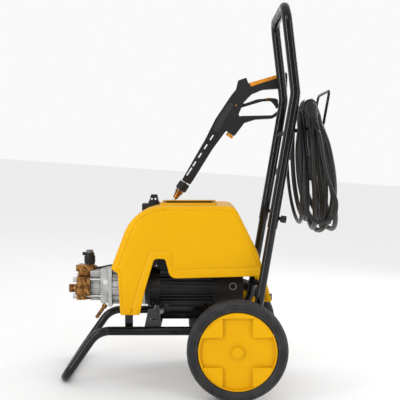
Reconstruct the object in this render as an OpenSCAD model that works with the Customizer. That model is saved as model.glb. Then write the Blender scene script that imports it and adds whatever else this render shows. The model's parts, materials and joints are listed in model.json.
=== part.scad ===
// Trolley pressure washer: tube frame on two wheels, motor and axial pump under a moulded cover,
// telescoping handle with a hose hook, spray gun in a holster, coiled power cable and hose.
// Everything is drawn in the machine's own axes, where the rails are level, and stance() then sets
// the machine down on its wheels and its front foot. X runs from pump (-) to wheels (+), Z is up.

/* [Frame] */
// Distance between the side tubes, centre to centre
track_w = 300; // [280:1:310]
// Outer diameter of the frame tubes
tube_d = 22; // [20:0.5:23]
// Wall of the frame tubes
tube_wall = 1.5; // [1:0.1:2.5]
// Height of the rails over the wheels' ground line
rail_z = 164; // [160:1:168]
// Front foot bar, distance forward of the machine's origin line
foot_x = -343; // [-350:1:-335]
// Front foot bar, height of its centre in the machine's axes
foot_z = 41; // [35:1:60]
// Slope of the front legs
leg_angle = 55; // [50:1:60]
// Place along the rails where the uprights start
upright_x = 136; // [132:1:140]
// Backward lean of the uprights
upright_lean = 9.6; // [8:0.1:11]
// Height of the lower tubes' top ends, inside the handle
tube_top_z = 580; // [560:1:590]

/* [Handle] */
// Outer diameter of the handle tube
sleeve_d = 25.4; // [25:0.1:27]
// Radial running clearance of the handle on the lower tubes
sleeve_gap = 0.05; // [0.02:0.01:0.09]
// Height of the handle's lower ends
sleeve_z = 424; // [415:1:435]
// Height of the kink
kink_z = 758; // [750:1:765]
// Forward lean of the handle above the kink
handle_lean = 6.8; // [5:0.1:9]
// Height of the handle's top bar
handle_top_z = 974; // [960:1:985]
// Half width of the hose hook
hook_half = 100; // [90:1:104]

/* [Wheels] */
// Wheel radius
wheel_r = 125; // [124:0.5:126]
// Tyre width
tyre_w = 50; // [46:1:54]
// Distance of each wheel's middle plane from the machine's middle
wheel_mid = 196; // [194:1:200]
// Hub cap radius
cap_r = 97; // [94:1:99]
// Axle radius
axle_r = 10; // [9:0.5:10]
// Axle, distance behind the machine's origin line
axle_x = 92; // [88:1:96]

/* [Motor and pump] */
// Height of the motor and pump axis
shaft_z = 255; // [253:0.5:257]
// Radius over the motor's cooling fins
fin_r = 55; // [53:0.5:56]
// Rows of cooling fins to each side of every middle one
fin_rows = 4; // [2:1:4]
// Shaft radius
shaft_r = 9; // [8:0.5:10]

/* [Cover] */
// Half width of the cover
cover_half = 130; // [126:1:132]
// Wall of the cover
cover_wall = 3; // [2.5:0.5:4]

/* [Gun] */
// Distance of the gun's middle plane from the machine's middle
gun_y = 183; // [182:0.5:186]
// Slope of the lance
lance_angle = 56.7; // [56:0.1:58]
// Lance tube radius
lance_r = 5.5; // [5:0.1:6]

/* [Cords] */
// Power cable diameter
cable_d = 9.5; // [8:0.5:10]
// Hose diameter
hose_d = 13; // [12:0.5:14]
// Height of the middle of the hanging coils
coil_z = 578; // [575:1:582]

/* [Hidden] */

$fn = 64;
eps = 0.01;
// Hairline between a tube's straight lengths and its bends, which are separate solids
seam = 0.005;
half_track = track_w / 2;
tube_r = tube_d / 2;
sleeve_bore_r = tube_r + sleeve_gap;
sleeve_r = sleeve_d / 2;
axle_z = wheel_r;
foot_corner_r = 32;
leg_bend_r = 60;
rear_bend_r = 60;
kink_r = 70;
top_corner_r = 38;

// Lean that brings the front foot bar down to the ground line
foot_reach = norm([axle_x - foot_x, axle_z - foot_z]);
foot_dip = atan2(axle_z - foot_z, axle_x - foot_x);
lean = asin((wheel_r - tube_r) / foot_reach) - foot_dip;
// Shift along X that puts the origin under the middle of the machine
centre_shift = 128;

cover_black = [0.09, 0.09, 0.1];
yellow = [0.95, 0.7, 0.03];
brass = [0.78, 0.55, 0.25];
silver = [0.75, 0.76, 0.77];
cast_grey = [0.62, 0.63, 0.62];
orange = [0.9, 0.5, 0.05];

// ---- Helpers ----

// Sets the machine down on its wheels and foot, over its own middle
module stance()
    translate([centre_shift, 0, axle_z]) rotate([0, -lean, 0]) translate([-axle_x, 0, -axle_z])
        children();

// X of the upright's centre line at a height
function upright_at(z) = upright_x + (z - rail_z) * tan(upright_lean);
function unit(v) = v / norm(v);
function turn(pts, i) = acos(unit(pts[i] - pts[i - 1]) * unit(pts[i + 1] - pts[i]));
// Length that a bend of radius r takes off each side of corner i
function cut(pts, i, r) = i == 0 || i == len(pts) - 1 ? 0 : r[i] * tan(turn(pts, i) / 2);

// A straight round bar between two points of the XZ plane, hollow where bore is over 0
module bar(p, q, r, bore = 0) {
    v = q - p;
    if (norm(v) > 4 * seam)
        translate([p[0], 0, p[1]]) rotate([0, atan2(v[0], v[1]), 0])
            linear_extrude(norm(v)) ring(r, bore);
}
module ring(r, bore) difference() {
    circle(r = r);
    if (bore > 0) circle(r = bore);
}

// A round bar bent in the XZ plane, with a bend radius for each corner
module bent_bar(pts, bends, r, bore = 0) {
    last = len(pts) - 1;
    for (i = [0 : last - 1]) {
        a = unit(pts[i + 1] - pts[i]);
        bar(pts[i] + a * (cut(pts, i, bends) + seam),
            pts[i + 1] - a * (cut(pts, i + 1, bends) + seam), r, bore);
    }
    for (i = [1 : last - 1]) {
        a = unit(pts[i] - pts[i - 1]);
        b = unit(pts[i + 1] - pts[i]);
        side = a[0] * b[1] - a[1] * b[0] > 0 ? 1 : -1;
        inward = side * [-a[1], a[0]];
        middle = pts[i] - a * cut(pts, i, bends) + inward * bends[i];
        start = atan2(-inward[1], -inward[0]);
        translate([middle[0], 0, middle[1]]) rotate([90, 0, 0])
            rotate([0, 0, side > 0 ? start : start - turn(pts, i)])
                rotate_extrude(angle = turn(pts, i)) translate([bends[i], 0]) ring(r, bore);
    }
}

// Copies children to both sides of the machine
module both_sides(y) for (side = [-1, 1]) translate([0, side * y, 0]) children();

// Children as drawn on the right side, and mirrored on the left
module mirrored_sides() for (side = [-1, 1]) scale([1, side, 1]) children();

// A cylinder along X
module x_cyl(x0, x1, r) translate([x0, 0, 0]) rotate([0, 90, 0]) cylinder(r = r, h = x1 - x0);

// A cylinder along Y
module y_cyl(y0, y1, r) translate([0, y0, 0]) rotate([-90, 0, 0]) cylinder(r = r, h = y1 - y0);

// A box given by its two corners
module block(low, high) translate(low) cube(high - low);

// A plate in the XZ plane, from y0 to y1
module xz_plate(y0, y1) translate([0, y1, 0]) rotate([90, 0, 0]) linear_extrude(y1 - y0) children();

// An outline whose corners [x, z, radius] are rounded
function corner_arc(p, q, s, r, n = 6) =
    let (a = unit([q[0] - p[0], q[1] - p[1]]), b = unit([s[0] - q[0], s[1] - q[1]]),
        side = a[0] * b[1] - a[1] * b[0] > 0 ? 1 : -1, sweep = acos(a * b), t = r * tan(sweep / 2),
        n1 = side * [-a[1], a[0]], c = [q[0], q[1]] - a * t + n1 * r, start = atan2(-n1[1], -n1[0]))
    r < eps ? [[q[0], q[1]]]
    : [for (k = [0 : n]) c + r * [cos(start + side * sweep * k / n), sin(start + side * sweep * k / n)]];
function rounded(pts) =
    [for (i = [0 : len(pts) - 1])
        each corner_arc(pts[(i + len(pts) - 1) % len(pts)], pts[i], pts[(i + 1) % len(pts)], pts[i][2])];

// Smooth curve through route points, and a tube swept along it
function spline_point(p, i, t) =
    let (a = p[max(i - 1, 0)], b = p[i], c = p[i + 1], d = p[min(i + 2, len(p) - 1)])
    0.5 * (2 * b + (c - a) * t + (2 * a - 5 * b + 4 * c - d) * t * t
        + (3 * b - a - 3 * c + d) * t * t * t);
function route(p, steps) =
    concat([for (i = [0 : len(p) - 2]) for (k = [0 : steps - 1]) spline_point(p, i, k / steps)],
        [p[len(p) - 1]]);
module swept_tube(p, r, sides, across) {
    last = len(p) - 1;
    rings = [for (i = [0 : last])
        let (t = unit(p[min(i + 1, last)] - p[max(i - 1, 0)]), u = unit(cross(t, across)), v = cross(t, u))
        for (k = [0 : sides - 1]) p[i] + r * (cos(360 * k / sides) * u + sin(360 * k / sides) * v)];
    sheath = [for (i = [0 : last - 1]) for (k = [0 : sides - 1])
        [(i + 1) * sides + k, (i + 1) * sides + (k + 1) % sides, i * sides + (k + 1) % sides, i * sides + k]];
    first_end = [[for (k = [0 : sides - 1]) k]];
    last_end = [[for (k = [sides - 1 : -1 : 0]) last * sides + k]];
    polyhedron(rings, concat(sheath, first_end, last_end));
}

// ---- Frame ----

leg_way = [cos(leg_angle), sin(leg_angle)];
side_path = [
    [foot_x, foot_z] + leg_way * foot_corner_r,
    [foot_x + (rail_z - foot_z) / tan(leg_angle), rail_z],
    [upright_x, rail_z],
    [upright_at(tube_top_z), tube_top_z]
];
side_bends = [0, leg_bend_r, rear_bend_r, 0];

module side_tube(side)
    color(cover_black) stance() translate([0, side * half_track, 0])
        bent_bar(side_path, side_bends, tube_r, tube_r - tube_wall);
module frame_tube_left() side_tube(-1);
module frame_tube_right() side_tube(1);

module front_foot()
    color(cover_black) stance() translate([foot_x, 0, foot_z]) rotate([0, 90 - leg_angle, 0])
        rotate([0, 0, 90])
            bent_bar([[-half_track, foot_corner_r], [-half_track, 0], [half_track, 0],
                [half_track, foot_corner_r]], [0, foot_corner_r, foot_corner_r, 0],
                tube_r, tube_r - tube_wall);

// Flat bars between the rails, front and rear, that carry the motor base, and welded tabs that the
// cover's screws go into
bar_xs = [-137, 4];
bar_w = 38;
bar_z = 166;
bar_t = 5;
tab_y = 122.8;
module cross_bars()
    color(cover_black) stance() {
        for (x = bar_xs) difference() {
            block([x, -half_track, bar_z], [x + bar_w, half_track, bar_z + bar_t]);
            both_sides(half_track) translate([0, 0, rail_z]) x_cyl(x - 1, x + bar_w + 1, tube_r);
            for (y = [-50, 50]) translate([x + bar_w / 2, y, bar_z - 1]) cylinder(r = 3.2, h = bar_t + 2);
        }
        mirrored_sides() difference() {
            union() {
                block([-190, tab_y, rail_z], [-170, tab_y + 4, 222]);
                block([-190, tab_y, rail_z - 2], [-170, half_track, rail_z + 2]);
            }
            translate([0, half_track, rail_z]) x_cyl(-220, -120, tube_r);
            translate([cover_screw_xz[0][0], 0, cover_screw_xz[0][1]]) y_cyl(100, 140, screw_r + 0.1);
        }
        mirrored_sides() difference() {
            block([140, tab_y, 238], [182, tab_y + 4, 254]);
            translate([cover_screw_xz[1][0], 0, cover_screw_xz[1][1]]) y_cyl(100, 140, screw_r + 0.1);
        }
        mirrored_sides() difference() {
            block([140, tab_y + 4.1, 244], [152, half_track, 248]);
            translate([0, half_track, 0]) bar([upright_at(200), 200], [upright_at(300), 300], tube_r);
        }
    }

plate_t = 6;
module axle_plates()
    color(cover_black) stance() both_sides(half_track) difference() {
        xz_plate(-plate_t / 2, plate_t / 2)
            polygon(rounded([[axle_x - 30, rail_z, 0], [axle_x - 18, axle_z - 18, 12],
                [axle_x + 18, axle_z - 18, 12], [axle_x + 24, rail_z, 0]]));
        translate([0, 0, rail_z]) x_cyl(axle_x - 60, axle_x + 60, tube_r);
        translate([axle_x, 0, axle_z]) y_cyl(-plate_t, plate_t, axle_r);
    }

axle_end = wheel_mid + tyre_w / 2 - 6;
module axle()
    color(silver) stance() translate([axle_x, 0, axle_z]) y_cyl(-axle_end, axle_end, axle_r);

// Slotted plates that stand on the rails beside the motor's front foot
module motor_brackets()
    color(cast_grey) stance() mirrored_sides() difference() {
        xz_plate(half_track - 7, half_track - 2)
            polygon(rounded([[-140, rail_z + 8, 2], [-98, rail_z + 8, 2], [-101, 219, 4], [-130, 219, 4]]));
        translate([-125, 0, 191]) block([0, half_track - 10, 0], [14, half_track, 4]);
        translate([0, half_track, rail_z]) x_cyl(-160, -80, tube_r);
    }

mount_xy = [for (x = bar_xs) for (y = [-50, 50]) [x + bar_w / 2, y]];
base_z = 186;
module rubber_mounts()
    color(cover_black) stance() for (p = mount_xy) translate([p[0], p[1], bar_z + bar_t]) difference() {
        cylinder(r = 11, h = base_z - bar_z - bar_t);
        translate([0, 0, -1]) cylinder(r = 3.2, h = 40);
    }

// Channel under the motor, open downwards, with a foot saddle on top
base_x = [-126, 40];
module motor_base()
    color(cover_black) stance() difference() {
        union() {
            block([base_x[0], -62, base_z], [base_x[1], 62, base_z + 4]);
            both_sides(60) block([base_x[0] + 22, -2, base_z - 8], [base_x[1] - 30, 2, base_z]);
            for (x = [-96, 10]) block([x, -40, base_z + 4], [x + 14, 40, shaft_z - 30]);
        }
        translate([0, 0, shaft_z]) x_cyl(-200, 100, fin_r + 2.3);
        for (p = mount_xy) translate([p[0], p[1], base_z - 9]) cylinder(r = 3.2, h = 20);
    }

screw_r = 3;
// Places of the screws that hold the cover, front and rear
cover_screw_xz = [[-180, 212], [172, 246]];
module hex_screw(len) {
    cylinder(r = screw_r, h = len);
    translate([0, 0, len]) cylinder(r = 5.6, h = 4, $fn = 6);
}
module screws()
    color(silver) stance() {
        for (p = mount_xy) translate([p[0], p[1], bar_z - 3]) hex_screw(base_z + 4 - bar_z + 3);
        for (p = cover_screw_xz) for (side = [-1, 1])
            translate([p[0], side * (cover_half - 7), p[1]]) rotate([-90 * side, 0, 0]) hex_screw(7);
    }

// ---- Motor ----

fin_x = [-105, 34];
fin_pitch = 8.5;
module motor_housing()
    color(cover_black) stance() translate([0, 0, shaft_z]) difference() {
        union() {
            x_cyl(fin_x[0], fin_x[1], fin_r - 8);
            // Straight fins, level on the sides and upright above and below
            for (quarter = [0 : 3]) rotate([90 * quarter, 0, 0]) for (i = [-fin_rows : fin_rows])
                let (d = i * fin_pitch, out = min(fin_r - 2, sqrt(pow(fin_r + 2, 2) - pow(abs(d) + 1.1, 2))))
                block([fin_x[0], d - 1.1, fin_r - 25], [fin_x[1], d + 1.1, out]);
        }
        x_cyl(fin_x[0] - 1, fin_x[1] + 1, fin_r - 11);
        block([fin_x[0] - 1, -41, fin_r - 5], [-12, 41, fin_r + 5]);
    }

module stator()
    color([0.45, 0.3, 0.2]) stance() translate([0, 0, shaft_z]) difference() {
        x_cyl(-88, 18, fin_r - 11.2);
        x_cyl(-89, 19, 26);
    }

module end_shields()
    color(cover_black) stance() translate([0, 0, shaft_z]) {
        difference() {
            union() {
                x_cyl(-145, fin_x[0], fin_r - 6);
                x_cyl(-139, -131, fin_r - 1);
                for (i = [0 : 7]) rotate([45 * i, 0, 0]) block([-131, -2, 30], [fin_x[0], 2, fin_r - 2]);
            }
            x_cyl(-146, -141, 30);
            x_cyl(-137, fin_x[0] + 1, fin_r - 12);
            x_cyl(-146, -100, 17.5);
        }
        difference() {
            x_cyl(fin_x[1], 46, fin_r - 4);
            x_cyl(fin_x[1] - 1, 40, fin_r - 12);
            x_cyl(0, 60, 17.5);
        }
    }

cowl_x = [46, 113];
module fan_cowl()
    color(cover_black) stance() translate([0, 0, shaft_z]) {
        difference() {
            x_cyl(cowl_x[0], cowl_x[1], fin_r + 2);
            x_cyl(cowl_x[0] - 1, cowl_x[1] - 2.5, fin_r - 0.5);
            for (i = [0 : 2]) difference() {
                x_cyl(100, 120, 20 + 13 * i);
                x_cyl(99, 121, 13 + 13 * i);
                for (k = [0 : 2]) rotate([60 * k, 0, 0]) block([98, -3, -60], [122, 3, 60]);
            }
        }
        difference() {
            translate([86, 0, 8]) y_cyl(-fin_r - 6, -fin_r + 1, 10);
            translate([86, 0, 8]) y_cyl(-fin_r - 7, -fin_r - 2, 7);
            x_cyl(cowl_x[0], cowl_x[1], fin_r);
        }
    }

box_x = [-105, -14];
box_z = [shaft_z + fin_r - 5, 335];
module terminal_box()
    color(cover_black) stance() {
        difference() {
            block([box_x[0], -40, box_z[0]], [box_x[1], 40, box_z[1] - 6]);
            block([box_x[0] + 3, -37, box_z[0] + 3], [box_x[1] - 3, 37, box_z[1]]);
            translate([0, 22, gland_z]) x_cyl(box_x[1] - 5, box_x[1] + 1, 8);
        }
        difference() {
            block([box_x[0] - 1, -41, box_z[1] - 5.8], [box_x[1] + 1, 41, box_z[1]]);
            for (x = [box_x[0] + 6, box_x[1] - 6]) for (y = [-34, 34])
                translate([x, y, box_z[1] - 2]) cylinder(r = 3, h = 3);
        }
    }

module capacitor()
    color([0.14, 0.14, 0.15]) stance() translate([-127, 0, 327]) {
        y_cyl(-38, 34, 17);
        y_cyl(34, 38, 15);
    }

gland_z = 318;
module cable_gland()
    color([0.12, 0.12, 0.12]) stance() translate([0, 22, gland_z]) difference() {
        union() {
            x_cyl(box_x[1] - 3, box_x[1], 7.9);
            translate([box_x[1] + 0.1, 0, 0]) rotate([0, 90, 0]) cylinder(r = 11, h = 8, $fn = 6);
            x_cyl(box_x[1] + 8, box_x[1] + 18, 9);
        }
        x_cyl(box_x[1] - 9, box_x[1] + 10, 4);
        x_cyl(box_x[1] + 9, box_x[1] + 30, cable_d / 2 + 0.3);
    }

// ---- Rotor ----

module motor_shaft()
    color(silver) stance() translate([0, 0, shaft_z]) x_cyl(-212, 82, shaft_r);

module bored(r) difference() {
    children();
    x_cyl(-300, 200, r);
}
module rotor_core()
    color(cast_grey) stance() translate([0, 0, shaft_z]) bored(shaft_r) {
        x_cyl(-86, 16, 25.4);
        for (i = [0 : 7]) rotate([45 * i, 0, 0]) block([16, -1.5, 12], [22, 1.5, 24]);
    }

module cooling_fan()
    color(cover_black) stance() translate([0, 0, shaft_z]) bored(shaft_r) {
        x_cyl(60, 82, 15);
        x_cyl(60, 62.5, 46);
        for (i = [0 : 8]) rotate([40 * i, 0, 0]) block([62, -1.2, 14], [80, 1.2, 48]);
    }

module swash_plate()
    color(silver) stance() translate([0, 0, shaft_z]) bored(shaft_r) difference() {
        x_cyl(-212, -186, 30);
        translate([-205, 0, 0]) rotate([0, -8, 0]) translate([-40, -50, -50]) cube([40, 100, 100]);
    }

module bearings()
    color(silver) stance() translate([0, 0, shaft_z]) for (x = [-126, 36.5]) difference() {
        x_cyl(x, x + 9, 17.4);
        x_cyl(x - 1, x + 10, shaft_r + 0.05);
    }

// ---- Pump ----

flange_x = -241;
module pump_bell()
    color(cast_grey) stance() translate([0, 0, shaft_z]) difference() {
        union() {
            block([flange_x, -46, -48], [flange_x + 9, 46, 52]);
            x_cyl(flange_x + 9, -150, 44);
            x_cyl(-152, -145, 50);
            for (i = [0 : 11]) rotate([30 * i, 0, 0]) block([flange_x + 9, -2, 30], [-152, 2, 48]);
        }
        x_cyl(flange_x + 8, -144, 36);
        x_cyl(flange_x - 1, flange_x + 10, 27);
        for (y = [-34, 34]) for (z = [-22, 22]) translate([0, y, z]) x_cyl(flange_x - 1, flange_x + 10, 3.6);
    }

piston_r = 7;
piston_ring = 17;
block_x = [-290, flange_x];
module at_pistons() for (i = [0 : 2]) rotate([120 * i, 0, 0]) translate([0, 0, piston_ring]) children();
module crankcase()
    color([0.72, 0.73, 0.72]) stance() translate([0, 0, shaft_z]) {
        difference() {
            union() {
                block([block_x[0], -28, -34], [block_x[1], 28, 44]);
                block([-262, -40, -40], [block_x[1], 40, 49]);
                for (z = [-30 : 12 : 42]) block([block_x[0] + 2, -31, z], [-262, 31, z + 3]);
                x_cyl(-256, block_x[1], 45);
                translate([-258, 0, -44]) cylinder(r = 9, h = 20);
            }
            at_pistons() x_cyl(block_x[0] - 1, block_x[1] + 1, piston_r + 0.3);
            x_cyl(-258, block_x[1] + 1, 27);
            for (y = [-34, 34]) for (z = [-22, 22]) translate([0, y, z]) x_cyl(-300, block_x[1] + 1, 3.6);
            translate([-258, 0, -60]) cylinder(r = 4.5, h = 30);
        }
        // Oil filler plug
        translate([-272, 18, 44.1]) cylinder(r = 8, h = 5, $fn = 6);
    }

module pistons()
    color(silver) stance() translate([0, 0, shaft_z]) at_pistons() {
        x_cyl(-289, -222, piston_r);
        x_cyl(-222, -216, 9);
    }

head_x = [-325, -290];
module pump_head()
    color(brass) stance() translate([0, 0, shaft_z]) difference() {
        union() {
            block([head_x[0], -42, -31], [head_x[1], 42, 29]);
            // Valve cap nuts on the front face
            for (p = [[-22, -14], [22, -14], [0, 16]])
                translate([head_x[0] - 5, p[0], p[1]]) rotate([0, 90, 0]) cylinder(r = 9, h = 6, $fn = 6);
        }
        for (y = [-34, 34]) for (z = [-22, 22]) translate([0, y, z]) x_cyl(-330, -280, 3.6);
        for (y = [-50, 32]) translate([-300, y, -40]) cube([20, 18, 20]);
        translate([-308, 0, -6]) y_cyl(30, 50, 10);
        translate([0, 0, -6]) x_cyl(-330, -312, 6);
    }

module tie_bolts()
    color(silver) stance() translate([0, 0, shaft_z]) for (y = [-34, 34]) for (z = [-22, 22])
        translate([0, y, z]) {
            x_cyl(head_x[0], flange_x + 9, 3.5);
            x_cyl(head_x[0] - 10, head_x[0], 6.5);
            translate([flange_x + 9.1, 0, 0]) rotate([0, 90, 0]) cylinder(r = 6, h = 6, $fn = 6);
        }

outlet_z = shaft_z - 6;
module outlet_connector()
    color(brass) stance() translate([0, 0, outlet_z]) difference() {
        union() {
            x_cyl(-350, -331, 11);
            x_cyl(-331, -313, 5.9);
        }
        x_cyl(-351, -340, 6.5);
        x_cyl(-352, -312, 3);
    }

module water_inlet()
    color(brass) stance() translate([-308, 0, outlet_z]) difference() {
        union() {
            y_cyl(32, 42, 9.9);
            translate([0, 42.1, 0]) rotate([-90, 0, 0]) cylinder(r = 16, h = 8, $fn = 6);
            y_cyl(50, 72, 13.2);
        }
        y_cyl(31, 73, 8);
    }

unloader_z = shaft_z + 29;
module unloader_body()
    color(brass) stance() {
        block([-324, -16, unloader_z], [block_x[0] - 0.1, 16, 301]);
        block([-324, -16, 301], [-283, 16, 314]);
        translate([-295, 0, 314]) cylinder(r = 8, h = 5);
        translate([0, 0, 303]) x_cyl(-331, -324, 9);
        translate([-312, -16, 300]) y_cyl(-6, 0, 8);
        translate([0, 0, 306]) difference() {
            x_cyl(-283, -276, 5);
            x_cyl(-282, -275, 2.3);
        }
    }

knob_x = -295;
module pressure_knob()
    color([0.1, 0.1, 0.1]) stance() translate([knob_x, 0, 0]) difference() {
        union() {
            translate([0, 0, 315]) cylinder(r = 13, h = 22);
            translate([0, 0, 337]) cylinder(r1 = 13, r2 = 12, h = 8);
            translate([0, 0, 345]) cylinder(r = 9, h = 7);
            for (i = [0 : 11]) rotate([0, 0, 30 * i]) translate([13, 0, 318]) cylinder(r = 1.6, h = 18);
            translate([0, 0, 342]) x_cyl(-19, -6, 4.5);
        }
        translate([0, 0, 314]) cylinder(r = 8.05, h = 6);
    }

// Thin sensing tube from the unloader to the stop switch under the cover
bypass_route = [[-280, 0, 306], [-270, 0, 305], [-258, 0, 307], [-244, 0, 310], [-230, 0, 312],
    [-216, 0, 315], [-204, 0, 324], [-196, 0, 334], [-190, 0, 345]];
module bypass_tube()
    color([0.06, 0.06, 0.06]) stance() {
        swept_tube(route(bypass_route, 2), 2.2, 8, [0, 1, 0]);
        block([-198, -18, 345.2], [-150, 18, 370]);
    }

module chemical_barb()
    color(brass) stance() translate([-253, 0, 205]) rotate([0, 180 + 35, 0]) difference() {
        union() {
            cylinder(r = 7, h = 10);
            cylinder(r = 4.4, h = 44);
            for (z = [16 : 7 : 37]) translate([0, 0, z]) cylinder(r1 = 5.6, r2 = 4.4, h = 6);
        }
        translate([0, 0, 2]) cylinder(r = 2.5, h = 50);
    }

// ---- Cover ----

cover_top_z = 476;
roof = [[-226, 318, 3], [-166.5, cover_top_z, 105], [88, cover_top_z, 30], [147, 358, 90], [183, 234, 4]];
cover_outline = concat(
    [[-202, 200, 4], [-208, 306, 6]],
    roof,
    [[162, 234, 4], [144, 299, 6], [-75, 293, 20], [-88, 343, 8], [-116, 343, 10], [-139, 265, 60],
        [-153, 200, 4]]);
nose_open_z = 316;
rear_open_z = 300;
cavity_outline = [[-300, 100, 0], [-300, nose_open_z, 0], [-222.5, nose_open_z, 0],
    [-164.4, cover_top_z - cover_wall, 102], [86, cover_top_z - cover_wall, 27], [144, 357, 90],
    [160, rear_open_z, 0], [300, rear_open_z, 0], [300, 100, 0]];
tray_x = [-98, 40];
tray_half = 72;
module cover_shell()
    color(yellow) stance() difference() {
        xz_plate(-cover_half, cover_half) polygon(rounded(cover_outline));
        xz_plate(-cover_half + cover_wall, cover_half - cover_wall) polygon(rounded(cavity_outline));
        block([tray_x[0] + 4, -tray_half + 4, 470], [tray_x[1] - 4, tray_half - 4, 490]);
        translate([switch_x, 0, 440]) cylinder(r = 8, h = 60);
        for (p = cover_screw_xz) translate([p[0], 0, p[1]]) y_cyl(-140, 140, 3.2);
    }

module top_tray()
    color(cover_black) stance() difference() {
        union() {
            block([tray_x[0], -tray_half, cover_top_z + 0.1], [tray_x[1], tray_half, cover_top_z + 3]);
            block([tray_x[0] + 4.5, -tray_half + 4.5, cover_top_z - 10],
                [tray_x[1] - 4.5, tray_half - 4.5, cover_top_z + 1]);
        }
        block([tray_x[0] + 7, -tray_half + 7, cover_top_z - 8],
            [tray_x[1] - 7, tray_half - 7, cover_top_z + 4]);
    }

switch_x = -123;
switch_top = 476.5;
module switch_base()
    color(cover_black) stance() difference() {
        union() {
            block([-153, -26, 450], [-106, 26, switch_top]);
            translate([switch_x, 0, 440]) cylinder(r = 7.6, h = 30);
        }
        difference() {
            xz_plate(-60, 60) polygon(rounded(cover_outline));
            translate([switch_x, 0, 430]) cylinder(r = 7.6, h = 60);
        }
        translate([switch_x, 0, 460]) cylinder(r = 4.05, h = 40);
    }

module switch_knob()
    color(cover_black) stance() translate([switch_x, 0, switch_top]) difference() {
        union() {
            translate([0, 0, 0.4]) cylinder(r = 15, h = 6);
            xz_plate(-6, 6) polygon([[-13, 4], [13, 4], [9, 24], [-7, 24]]);
            translate([0, 0, -10]) cylinder(r = 4, h = 12);
        }
        for (x = [-5.5, 4]) translate([x, 0, 12]) y_cyl(-7, 7, 2.8);
    }

// ---- Handle ----

kink = [upright_at(kink_z), kink_z];
top_point = kink + (handle_top_z - kink_z) * [-tan(handle_lean), 1];
handle_way = unit(top_point - kink);
handle_side = [[upright_at(sleeve_z), sleeve_z], kink, top_point - handle_way * top_corner_r];
boss_r = 5;
boss_h = 4;
module handle_tube()
    color(cover_black) stance() difference() {
        union() {
            both_sides(half_track) {
                bent_bar(handle_side, [0, kink_r, 0], sleeve_r, sleeve_bore_r);
                // Threaded boss for the clamp screw, rooted in the middle of the tube's wall
                clamp_place() x_cyl(sleeve_r - 1, sleeve_r + boss_h, boss_r);
            }
            handle_top() bent_bar(handle_arch, handle_bends, sleeve_r, sleeve_bore_r);
        }
        both_sides(half_track) clamp_place() x_cyl(2, 40, clamp_r + 0.05);
    }
handle_arch = [[-half_track, 0], [-half_track, top_corner_r], [half_track, top_corner_r], [half_track, 0]];
handle_bends = [0, top_corner_r, top_corner_r, 0];
module handle_top()
    translate([handle_side[2][0], 0, handle_side[2][1]]) rotate([0, -handle_lean, 0])
        rotate([0, 0, 90]) children();

// Clamp screws: a place on the handle's rear face, with X out of the tube
clamp_z = 449;
clamp_r = 4;
module clamp_place() translate([upright_at(clamp_z), 0, clamp_z]) rotate([0, upright_lean, 0]) children();
module clamp_knob(side)
    color(cover_black) stance() translate([0, side * half_track, 0]) clamp_place() {
        x_cyl(tube_r + 0.3, sleeve_r + 8, clamp_r);
        x_cyl(sleeve_r + 4.5, sleeve_r + 18, 8.5);
        for (i = [0 : 5]) rotate([60 * i, 0, 0]) translate([0, 7, 0]) x_cyl(sleeve_r + 6, sleeve_r + 18, 2.6);
    }
module clamp_knob_left() clamp_knob(-1);
module clamp_knob_right() clamp_knob(1);

hook_z = 662;
hook_r = 3.5;
module handle_crossbar()
    color(cover_black) stance() difference() {
        translate([upright_at(hook_z), 0, hook_z]) y_cyl(-half_track, half_track, 6);
        both_sides(half_track) bar([upright_at(600), 600], [upright_at(740), 740], sleeve_r);
    }

hook_path = [[upright_at(hook_z), hook_z + 4], [312, 676], [328, 768]];
hook_way = unit(hook_path[2] - hook_path[1]);
module hose_hook()
    color(cover_black) stance() difference() {
        union() {
            both_sides(hook_half)
                bent_bar([hook_path[0], hook_path[1], hook_path[2] - 16 * hook_way], [0, 16, 0], hook_r);
            translate([hook_path[2][0], 0, hook_path[2][1]])
                rotate([0, atan2(hook_way[0], hook_way[1]), 0]) rotate([0, 0, 90])
                    bent_bar([[-hook_half, -16], [-hook_half, 0], [hook_half, 0], [hook_half, -16]],
                        [0, 16, 16, 0], hook_r);
        }
        translate([upright_at(hook_z), 0, hook_z]) y_cyl(-half_track, half_track, 6);
    }

// ---- Wheels ----

module wheel_place(side) translate([axle_x, side * wheel_mid, axle_z]) rotate([-90 * side, 0, 0]) children();
tyre_profile = [[cap_r, -20, 0], [cap_r + 5, -23, 3], [cap_r + 16, -tyre_w / 2, 6],
    [wheel_r - 4, -20, 8], [wheel_r, -8, 12], [wheel_r, 8, 12], [wheel_r - 4, 20, 8],
    [cap_r + 16, tyre_w / 2, 6], [cap_r + 5, 23, 3], [cap_r, 20, 0]];
module tyre(side)
    color([0.16, 0.16, 0.17]) stance() wheel_place(side)
        rotate_extrude($fn = 96) polygon(rounded(tyre_profile));
module rim(side)
    color(yellow) stance() wheel_place(side) difference() {
        union() {
            rotate_extrude($fn = 96) polygon([[80, -18], [cap_r - 0.1, -18], [cap_r - 0.1, 17],
                [cap_r - 4, 17], [cap_r - 8, -6], [80, -10]]);
            cylinder(r = 82, h = 6, center = true);
            translate([0, 0, -24]) cylinder(r = 24, h = 42);
            for (i = [0 : 7]) rotate([0, 0, 45 * i]) block([20, -3, -16], [84, 3, 0]);
        }
        translate([0, 0, -60]) cylinder(r = axle_r + 0.05, h = 120);
    }
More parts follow.
